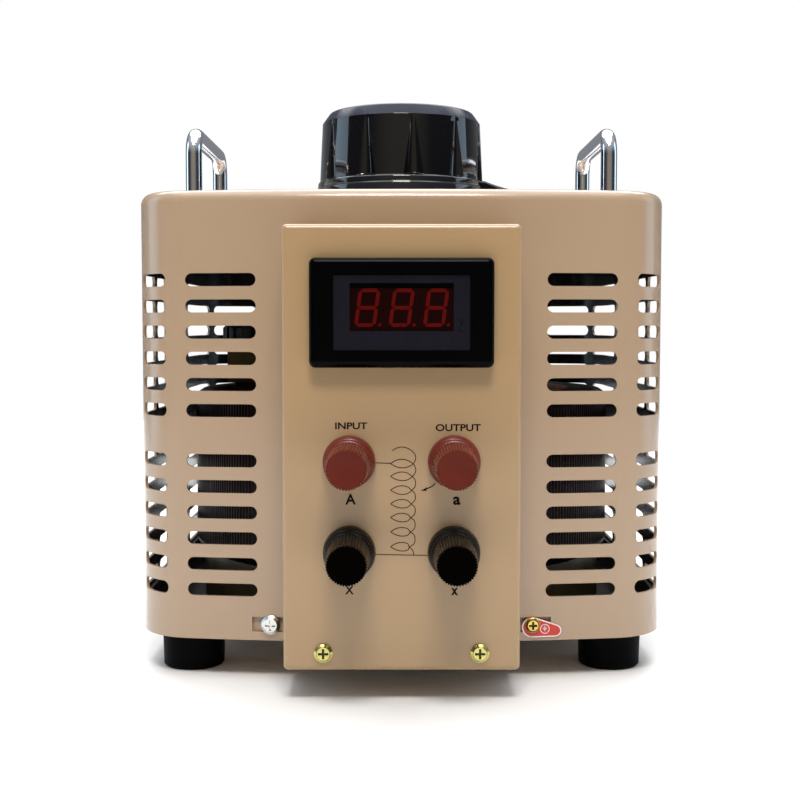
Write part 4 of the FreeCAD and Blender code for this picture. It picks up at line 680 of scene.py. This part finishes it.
def make_nose():
    """The pointer nose as a grid of points, closed underneath."""
    lengths, widths = 26, 14
    points = []
    for i in range(lengths + 1):
        t = i / lengths
        reach = NOSE_ROOT + (NOSE_TIP - NOSE_ROOT) * t
        half = nose_half_width(reach)
        if t > 0.9:
            half *= math.sqrt(max(0.05, 1 - ((t - 0.9) / 0.105) ** 2))
        for j in range(widths + 1):
            across = -1 + 2 * j / widths
            points.append(SHAFT + Vector((reach, half * across, nose_height(reach, across))))
        for j in range(widths, -1, -1):
            across = -1 + 2 * j / widths
            points.append(SHAFT + Vector((reach, half * across * 1.04, KNOB_BOTTOM)))
    around = 2 * (widths + 1)
    return points, ring_faces(lengths + 1, around) + end_faces(lengths + 1, around)


# ---------------------------------------------------------------- terminals
CAP_BACK, CAP_FRONT = -106.2, -128.0
CAP_RIBS = 42


def make_cap(name, x, z, finish_name):
    """A knurled terminal cap, tapered, with a smooth rear band and a flat front."""
    long = CAP_BACK - CAP_FRONT
    profile = [(3.3, 0.0), (8.3, 0.0), (8.6, 0.3), (8.6, 1.5), (8.3, 1.9), (8.0, 2.0), (8.05, 2.4)]
    ribbed = [0, 0, 0, 0, 0, 0, 1]
    rows = 9
    for row in range(1, rows + 1):
        t = row / rows
        profile.append((8.05 - 0.75 * t, 2.4 + (long - 3.2) * t))
        ribbed.append(1)
    profile += [(7.15, long - 0.42), (6.9, long - 0.12), (6.6, long), (6.2, long), (5.9, long - 0.12),
                (0.5, long - 0.15)]
    ribbed += [1, 0.8, 0.4, 0.2, 0, 0]

    def ripple(angle, index):
        wave = abs(math.sin(angle * CAP_RIBS / 2))
        return -ribbed[index] * 0.5 * (1 - wave) ** 1.2

    points, faces = lathe(profile, CAP_RIBS * 6, ripple)
    turn = Matrix.Translation((x, CAP_BACK, z)) @ Matrix.Rotation(math.radians(90), 4, "X")
    piece = new_piece(f"terminal_cap_{name}", mesh_from(moved(points, turn), faces), f"cap_{name}",
                      FINISHES[finish_name])
    second_finish(piece, finish_name.replace("post", "cap_face"),
                  lambda face: face.center.y < (CAP_FRONT + 0.3) * MM)
    piece.data.set_sharp_from_angle(angle=math.radians(50))
    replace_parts(piece, f"cap_{name}")


def make_collars(node, names, finish_name):
    """The moulded collars behind two caps."""
    profile = rounded([(3.2, -0.3), (9.75, -0.3), (9.75, 0.0), (9.6, 3.2), (8.9, 5.0), (7.6, 5.0),
                       (7.3, 4.7), (3.2, 4.7)], 0.7, 4)
    forms = []
    for name in names:
        x, z = POSTS[name]
        turn = Matrix.Translation((x, PANEL_Y, z)) @ Matrix.Rotation(math.radians(90), 4, "X")
        points, faces = lathe(profile)
        forms.append((moved(points, turn), faces))
    piece = new_piece(f"{node}_turned", mesh_from(*joined(*forms)), "housing", FINISHES[finish_name])
    piece.data.set_sharp_from_angle(angle=math.radians(50))
    return piece


# ---------------------------------------------------------------- panel printing
COIL_TURNS = [89.55, 84.83, 79.73, 74.68, 69.57, 64.26, 58.71]
COIL_CROSSINGS = [4.28, 3.9, 3.72, 3.53, 3.35, 3.21, 2.88]
DIAGRAM_LINE, SWEEP_LINE = 0.3, 0.42
# the words, their middle, height and width, and how far they are thickened
PANEL_WORDS = [
    ("INPUT", (-18.5, 103.45), 2.55, 11.8, 0.06),
    ("OUTPUT", (20.77, 102.8), 2.65, 16.6, 0.06),
    ("A", (-18.8, 76.35), 3.95, 3.9, 0.1),
    ("a", (20.3, 75.8), 3.15, 2.75, 0.1),
    ("X", (-19.3, 42.55), 3.2, 3.25, 0.09),
    ("x", (19.57, 42.0), 2.75, 2.55, 0.09),
]


def coil_path():
    """The drawn coil: a hooked start, flat loops joined on their right, and an end at the lower line."""
    path = [Vector((-3.5, 94.35)), Vector((-1.6, 95.35)), Vector((0.4, 95.65)), Vector((2.6, 95.0)),
            Vector((4.5, 93.5)), Vector((5.2, 91.7))]
    for index, (level, cross) in enumerate(zip(COIL_TURNS, COIL_CROSSINGS)):
        path += [Vector((cross, level - 0.1)), Vector((2.2, level - 1.25)), Vector((0.1, level - 1.6)),
                 Vector((-2.0, level - 1.15)), Vector((-3.7, level - 0.25)), Vector((-3.98, level)),
                 Vector((-3.7, level + 0.25)), Vector((-2.0, level + 1.2)), Vector((0.1, level + 1.6)),
                 Vector((2.2, level + 1.15)), Vector((cross, level - 0.1))]
        if index < len(COIL_TURNS) - 1:
            below = COIL_TURNS[index + 1]
            right = 5.22 - 0.06 * index
            path += [Vector((right - 0.35, level - 1.1)), Vector((right, (level + below) / 2 + 0.1)),
                     Vector((right - 0.3, below + 1.2))]
    path += [Vector((4.0, COIL_TURNS[-1] - 1.2)), Vector((4.55, COIL_TURNS[-1] - 3.15))]
    return path


def make_panel_print():
    """The winding diagram and the terminals' names."""
    lift = PANEL_Y - 0.02
    forms = [flat_line(path, DIAGRAM_LINE, lift)
             for path in (smooth_path(coil_path(), 5), [Vector((-10.2, 89.85)), Vector((-3.98, 89.62))],
                          [Vector((-10.2, 55.86)), Vector((9.6, 55.5))])]
    sweep = [Vector((12.4, 82.3)), Vector((11.3, 81.2)), Vector((10.1, 80.6)), Vector((8.6, 80.1))]
    forms.append(flat_line(smooth_path(sweep, 6), SWEEP_LINE, lift))
    head = [Vector((x, y, z)) for y in (lift, lift - PRINT_DEPTH)
            for x, z in ((6.95, 79.5), (9.5, 80.85), (9.0, 80.1), (9.35, 79.45))]
    forms.append((head, BOX_FACES))
    forms += [words_on_panel(*words) for words in PANEL_WORDS]
    new_piece("panel_lettering", mesh_from(*joined(*forms)), "housing", FINISHES["print_black"],
              smooth=False)


# ---------------------------------------------------------------- earth label
LABEL_SCREW = (51.5, 22.4)
LABEL_ENDS = (((0.0, -1.0), 4.1), ((9.3, -2.5), 2.5))
LABEL_SIGN = (5.1, -1.75)
LABEL_LIFTS = (0.05, -0.02)


def label_outline(inset):
    """The drop shape of the label, drawn in by an inset, as points about its screw."""
    steps = 14
    (large, large_r), (small, small_r) = LABEL_ENDS
    large_r, small_r = large_r - inset, small_r - inset
    run = Vector(small) - Vector(large)
    lean = math.atan2(run.y, run.x)
    spread = math.acos((large_r - small_r) / run.length)
    outline = []
    for centre, radius, start, end in ((large, large_r, lean + spread, lean - spread + 2 * math.pi),
                                       (small, small_r, lean - spread, lean + spread)):
        for step in range(steps + 1):
            angle = start + (end - start) * step / steps
            outline.append(Vector((centre[0] + radius * math.cos(angle),
                                   centre[1] + radius * math.sin(angle))))
    return outline


def band(outer, inner):
    """A thin raised band between two outlines of as many points, drawn flat."""
    count = len(outer)
    points = [Vector((p.x, p.y, h)) for h in LABEL_LIFTS for loop in (outer, inner) for p in loop]
    faces = []
    for i in range(count):
        j = (i + 1) % count
        faces += [(i, j, count + j, count + i),
                  (2 * count + i, 3 * count + i, 3 * count + j, 2 * count + j),
                  (i, 2 * count + i, 2 * count + j, j),
                  (count + i, count + j, 3 * count + j, 3 * count + i)]
    return points, faces


def circle(centre, radius):
    """Points round a circle."""
    count = 28
    return [Vector((centre[0] + radius * math.cos(2 * math.pi * i / count),
                    centre[1] + radius * math.sin(2 * math.pi * i / count))) for i in range(count)]


def bar_form(x, z, wide, tall):
    """A thin raised bar about a middle, drawn flat."""
    corners = [(x - wide / 2, z - tall / 2), (x + wide / 2, z - tall / 2), (x + wide / 2, z + tall / 2),
               (x - wide / 2, z + tall / 2)]
    points = [Vector((a, b, h)) for h in LABEL_LIFTS for a, b in corners]
    return points, BOX_FACES


def make_label_print():
    """The label's silver border and its earth sign in a ring, laid on its leaning face."""
    mesh = NODES["earth_label"].data
    front = [face for face in mesh.polygons if face.normal.y < -0.9]
    normal = sum((face.normal * face.area for face in front), Vector()).normalized()
    across = Vector((-normal.y, normal.x, 0.0)).normalized()
    on_face = front[0].center / MM
    screw_x, screw_z = LABEL_SCREW
    screw_y = on_face.y - (screw_x - on_face.x) * normal.x / normal.y
    origin = Vector((screw_x, screw_y, screw_z))

    def laid(form):
        return [origin + across * p.x + Vector((0, 0, p.y)) + normal * p.z for p in form[0]], form[1]

    x, z = LABEL_SIGN
    forms = [band(label_outline(0.06), label_outline(0.5)),
             band(circle(LABEL_SIGN, 1.9), circle(LABEL_SIGN, 1.64)),
             bar_form(x, z + 0.75, 0.2, 0.9), bar_form(x, z + 0.25, 1.7, 0.22),
             bar_form(x, z - 0.25, 1.1, 0.22), bar_form(x, z - 0.75, 0.5, 0.22)]
    new_piece("earth_label_border", mesh_from(*joined(*(laid(form) for form in forms))), "housing",
              FINISHES["print_silver"], smooth=False)


# ---------------------------------------------------------------- voltmeter
def framed_plate(outer, inner, back, front):
    """A flat plate with a rectangular window; each box is (left, right, bottom, top)."""
    points, faces = [], []
    for y in (front, back):
        for left, right, low, high in (outer, inner):
            points += [Vector((left, y, low)), Vector((right, y, low)), Vector((right, y, high)),
                       Vector((left, y, high))]
    for i in range(4):
        j = (i + 1) % 4
        faces += [(i, j, 4 + j, 4 + i), (8 + i, 12 + i, 12 + j, 8 + j), (i, 8 + i, 8 + j, j),
                  (4 + i, 4 + j, 12 + j, 12 + i)]
    return points, faces


METER_FACE = (-24.75, 24.75, 131.25, 158.35)
METER_WINDOW = (-18.8, 18.8, 138.2, 155.5)
METER_BACK, METER_FRONT = -104.0, -105.2
DIGIT_LEFTS = (-17.31, -4.85, 7.6)
DIGIT_SIZE = (7.9, 13.87)
DIGIT_FOOT = 139.7
DIGIT_SLANT = 0.134
SEGMENT = 1.35
SEGMENT_FRONT, SEGMENT_BACK = -104.12, -104.02
POINT_RADIUS = 0.62


def segment_forms():
    """The seven bars and the point of each unlit digit."""
    wide, tall = DIGIT_SIZE
    half = SEGMENT / 2
    mid = tall / 2
    gap = 0.12
    level = [(half + gap, y, wide - half - gap) for y in (half, mid, tall - half)]
    upright = [(x, low + gap, high - gap) for x in (half, wide - half)
               for low, high in ((half, mid), (mid, tall - half))]
    forms = []

    def bar(outline, left):
        points = [Vector((left + x + DIGIT_SLANT * z, y, DIGIT_FOOT + z))
                  for y in (SEGMENT_FRONT, SEGMENT_BACK) for x, z in outline]
        n = len(outline)
        faces = [tuple(range(n)), tuple(range(2 * n - 1, n - 1, -1))]
        faces += [(i, (i + 1) % n, n + (i + 1) % n, n + i) for i in range(n)]
        forms.append((points, faces))

    for left in DIGIT_LEFTS:
        for start, y, end in level:
            bar([(start, y), (start + half, y + half), (end - half, y + half), (end, y),
                 (end - half, y - half), (start + half, y - half)], left)
        for x, start, end in upright:
            bar([(x, start), (x + half, start + half), (x + half, end - half), (x, end),
                 (x - half, end - half), (x - half, start + half)], left)
        bar([(wide + 1.35 + POINT_RADIUS * math.cos(a * math.pi / 6),
              0.75 + POINT_RADIUS * math.sin(a * math.pi / 6)) for a in range(12)], left)
    return forms


def make_meter():
    """The voltmeter's tinted face, its unlit digits and its unit mark."""
    face = framed_plate(METER_FACE, METER_WINDOW, METER_BACK, METER_FRONT)
    piece = new_piece("meter_face", mesh_from(*face), "housing", FINISHES["meter_tint"],
                      smooth=False)
    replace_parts(piece, "meter_window")
    new_piece("meter_segments", mesh_from(*joined(*segment_forms())), "housing",
              FINISHES["segment_red"], smooth=False)
    points, faces, size = text_form("V", 3.2)
    scale_x, scale_z = 2.1 / size.x, 3.3 / size.y
    mark = ([Vector((21.5 + p.x * scale_x, -105.23 - p.z, 141.3 + p.y * scale_z)) for p in points],
            faces)
    wave = flat_line([Vector((20.3 + 0.2 * i, 138.25 + 0.28 * math.sin(i * math.pi / 6)))
                      for i in range(13)], 0.28, -105.22)
    new_piece("meter_unit", mesh_from(*joined(mark, wave)), "housing", FINISHES["print_black"],
              smooth=False)


# ---------------------------------------------------------------- dial scale
DIAL_FACE = 194.0
DIAL_START, DIAL_SWEEP, DIAL_FULL = 250.0, 320.0, 250
TICK_FOOT = 58.9
LONG_TICK, MIDDLE_TICK, SHORT_TICK = 62.6, 61.6, 60.7
BOLD_TICK_HALF, THIN_TICK_HALF = 0.4, 0.26
NUMBER_RADIUS, NUMBER_HEIGHT = 66.2, 3.9


def dial_angle(volts):
    """The angle of a reading on the dial; the reading rises clockwise."""
    return math.radians(DIAL_START - DIAL_SWEEP * volts / DIAL_FULL)


def make_dial_scale():
    """Ticks and numbers round the dial plate."""
    forms = []
    for volts in range(0, DIAL_FULL + 1, 5):
        angle = dial_angle(volts)
        numbered = volts % 50 == 0
        outer = LONG_TICK if numbered else MIDDLE_TICK if volts % 10 == 0 else SHORT_TICK
        out = Vector((math.cos(angle), math.sin(angle), 0))
        side = Vector((-out.y, out.x, 0)) * (BOLD_TICK_HALF if numbered else THIN_TICK_HALF)
        points = []
        for z in (DIAL_FACE + PRINT_DEPTH, DIAL_FACE):
            base = SHAFT + Vector((0, 0, z))
            points += [base + out * TICK_FOOT + side, base + out * outer + side,
                       base + out * outer - side, base + out * TICK_FOOT - side]
        forms.append((points, BOX_FACES))
    for volts in range(0, DIAL_FULL + 1, 50):
        angle = dial_angle(volts)
        points, faces, size = text_form(str(volts), 4.6, 0.08)
        scale = NUMBER_HEIGHT / size.y
        turn = (Matrix.Translation(SHAFT + Vector((0, 0, DIAL_FACE + 0.01)))
                @ Matrix.Rotation(angle, 4, "Z") @ Matrix.Translation((NUMBER_RADIUS, 0, 0))
                @ Matrix.Rotation(math.radians(-90), 4, "Z") @ Matrix.Diagonal((scale, scale, 1, 1)))
        forms.append((moved(points, turn), faces))
    new_piece("dial_scale", mesh_from(*joined(*forms)), "housing", FINISHES["print_black"],
              smooth=False)


# ---------------------------------------------------------------- brush spring
SPRING_RADIUS = 3.2


def make_spring():
    """The coil spring behind the carbon brush."""
    low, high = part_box("brush_spring")
    centre = (low + high) / 2 / MM
    turns, per_turn, wire = 6, 18, 0.35
    tall = (high.z - low.z) / MM - 2 * wire
    path = []
    for step in range(turns * per_turn + 1):
        angle = 2 * math.pi * step / per_turn
        path.append(Vector((centre.x + SPRING_RADIUS * math.cos(angle),
                            centre.y + SPRING_RADIUS * math.sin(angle),
                            low.z / MM + wire + tall * step / (turns * per_turn))))
    piece = new_piece("brush_spring_coil", mesh_from(*tube(path, wire, 8)), "rotor",
                      FINISHES["spring_steel"])
    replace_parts(piece, "brush_spring")
    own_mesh(piece)


# ---------------------------------------------------------------- CAD nodes' finishes
# the brush holder takes the bronze darkened as painted shade for the inside of the casing
NODE_FINISHES = {"front_panel": "panel_paint", "base_plate": "tray_paint", "brush_holder": "holder_bronze_painted_shade"}


def dress_nodes():
    """Gives every CAD node the finish named for it above, or else the finish of its slot."""
    slots = {s["node"]: s["material_slot"] for s in frame["record"]["subparts"]}
    for name, node in NODES.items():
        chosen = NODE_FINISHES.get(name, slots[name])
        node.data.materials.clear()
        if chosen in FINISHES:
            node.data.materials.append(FINISHES[chosen])


RECESS_REACH = 2.6


def shade_recesses():
    """A darker finish down the crossed recesses of the screws in front."""
    for name in ("panel_screws", "casing_screws", "earth_screw"):
        screws = NODES[name]
        for side in (-1, 1):
            tops = [face for face in screws.data.polygons
                    if face.normal.y < -0.9 and face.center.x * side > 0]
            if not tops:
                continue
            area = sum(face.area for face in tops)
            axis = sum((face.normal * face.area for face in tops), Vector()).normalized()
            middle = sum((face.center * face.area for face in tops), Vector()) / area
            top = max((face.center - middle).dot(axis) for face in tops)

            def in_recess(face):
                from_middle = face.center - middle
                depth = top - from_middle.dot(axis)
                across = (from_middle - axis * from_middle.dot(axis)).length
                return across < RECESS_REACH * MM and 0.1 * MM < depth < 1.3 * MM

            second_finish(screws, "recess_shade", in_recess)


# ---------------------------------------------------------------- stage, light and camera
FLOOR_HALF = 1300.0
CAMERA_PLACE = (-0.0006, -0.5633, 0.1404)
CAMERA_LENS = 56.9835
CAMERA_DIP = 3.39


def make_stage():
    """A plain pale floor."""
    points = [(x, y, 0.0) for x, y in ((-FLOOR_HALF, -FLOOR_HALF), (FLOOR_HALF, -FLOOR_HALF),
                                       (FLOOR_HALF, FLOOR_HALF), (-FLOOR_HALF, FLOOR_HALF))]
    mesh = bpy.data.meshes.new("floor_paper")
    mesh.from_pydata(points, [], [(0, 1, 2, 3)])
    mesh.transform(Matrix.Scale(MM, 4))
    mesh.materials.append(finish("floor_paper", (0.86, 0.86, 0.86), (0.6, 0.7), 0.02, 3, 1e-5, 200))
    floor = bpy.data.objects.new("floor_paper", mesh)
    bpy.context.scene.collection.objects.link(floor)


def area_light(name, place, target, size, power, colour=(1, 1, 1)):
    """A soft rectangular light aimed at a point."""
    lamp = bpy.data.lights.new(name, "AREA")
    lamp.shape = "RECTANGLE"
    lamp.size, lamp.size_y = size
    lamp.energy = power
    lamp.color = colour
    holder = bpy.data.objects.new(name, lamp)
    holder.location = place
    holder.rotation_euler = (Vector(target) - Vector(place)).to_track_quat("-Z", "Y").to_euler()
    bpy.context.scene.collection.objects.link(holder)


def make_world():
    """A white backdrop, in a studio that is cool and bright above, dim around and warm in front."""
    world = bpy.data.worlds.new("studio")
    bpy.context.scene.world = world
    world.use_nodes = True
    tree = world.node_tree
    toward = tree.nodes.new("ShaderNodeSeparateXYZ")
    tree.links.new(tree.nodes.new("ShaderNodeTexCoord").outputs["Generated"], toward.inputs[0])
    behind = add_range(tree, toward.outputs["Y"], 0.0, 0.9, 0.0, 0.25)
    above = add_range(tree, toward.outputs["Z"], 0.25, 0.95, 0.0, 0.85)
    bright = add_math(tree, "MAXIMUM", behind, above)
    dim = add_mix(tree, add_range(tree, toward.outputs["Y"], -0.7, -0.95), (0.045, 0.045, 0.05, 1),
                  (0.26, 0.23, 0.19, 1))
    around = add_mix(tree, bright, dim, (0.80, 0.84, 0.90, 1))
    seen = tree.nodes.new("ShaderNodeLightPath").outputs["Is Camera Ray"]
    colour = add_mix(tree, seen, around, (1, 1, 1, 1))
    tree.links.new(colour, tree.nodes["Background"].inputs["Color"])
    tree.nodes["Background"].inputs["Strength"].default_value = 1.0


def make_lights():
    """A wide soft light overhead, a warm one high in front, cool strips at the sides, and one behind."""
    middle = (0, 0, 0.11)
    area_light("light_overhead", (0.0, 0.1, 1.45), (0, 0.05, 0), (1.5, 1.5), 17, (0.96, 0.98, 1.0))
    area_light("light_front", (0.0, -0.95, 1.45), middle, (0.5, 0.35), 19, (1.0, 0.94, 0.87))
    area_light("light_left", (-1.2, 0.1, 0.4), middle, (0.5, 1.0), 3, (0.6, 0.82, 1.0))
    area_light("light_right", (1.2, 0.1, 0.4), middle, (0.5, 1.0), 2.5, (0.6, 0.82, 1.0))
    area_light("light_back", (0, 1.0, 1.5), (0, 0.9, 0), (2.2, 0.8), 24)


def make_camera():
    """The camera in front of the object, above its middle and dipped a little."""
    lens = bpy.data.cameras.new("camera")
    lens.sensor_width = 36.0
    lens.lens = CAMERA_LENS
    lens.clip_start = 0.01
    holder = bpy.data.objects.new("camera", lens)
    holder.location = CAMERA_PLACE
    holder.rotation_euler = (math.radians(90 - CAMERA_DIP), 0, 0)
    bpy.context.scene.collection.objects.link(holder)
    bpy.context.scene.camera = holder


dress_nodes()
shade_recesses()
make_winding()
make_knob()
for post_name, (post_x, post_z) in POSTS.items():
    make_cap(post_name, post_x, post_z, "post_red" if "live" in post_name else "post_black")
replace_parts(make_collars("post_collars_red", ("input_live", "output_live"), "post_red"),
            "post_collars_red")
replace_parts(make_collars("post_collars_black", ("input_neutral", "output_neutral"), "post_black"),
            "post_collars_black")
make_panel_print()
make_label_print()
make_meter()
make_dial_scale()
make_spring()
make_stage()
make_world()
make_lights()
make_camera()
bpy.context.scene.view_settings.view_transform = "Standard"
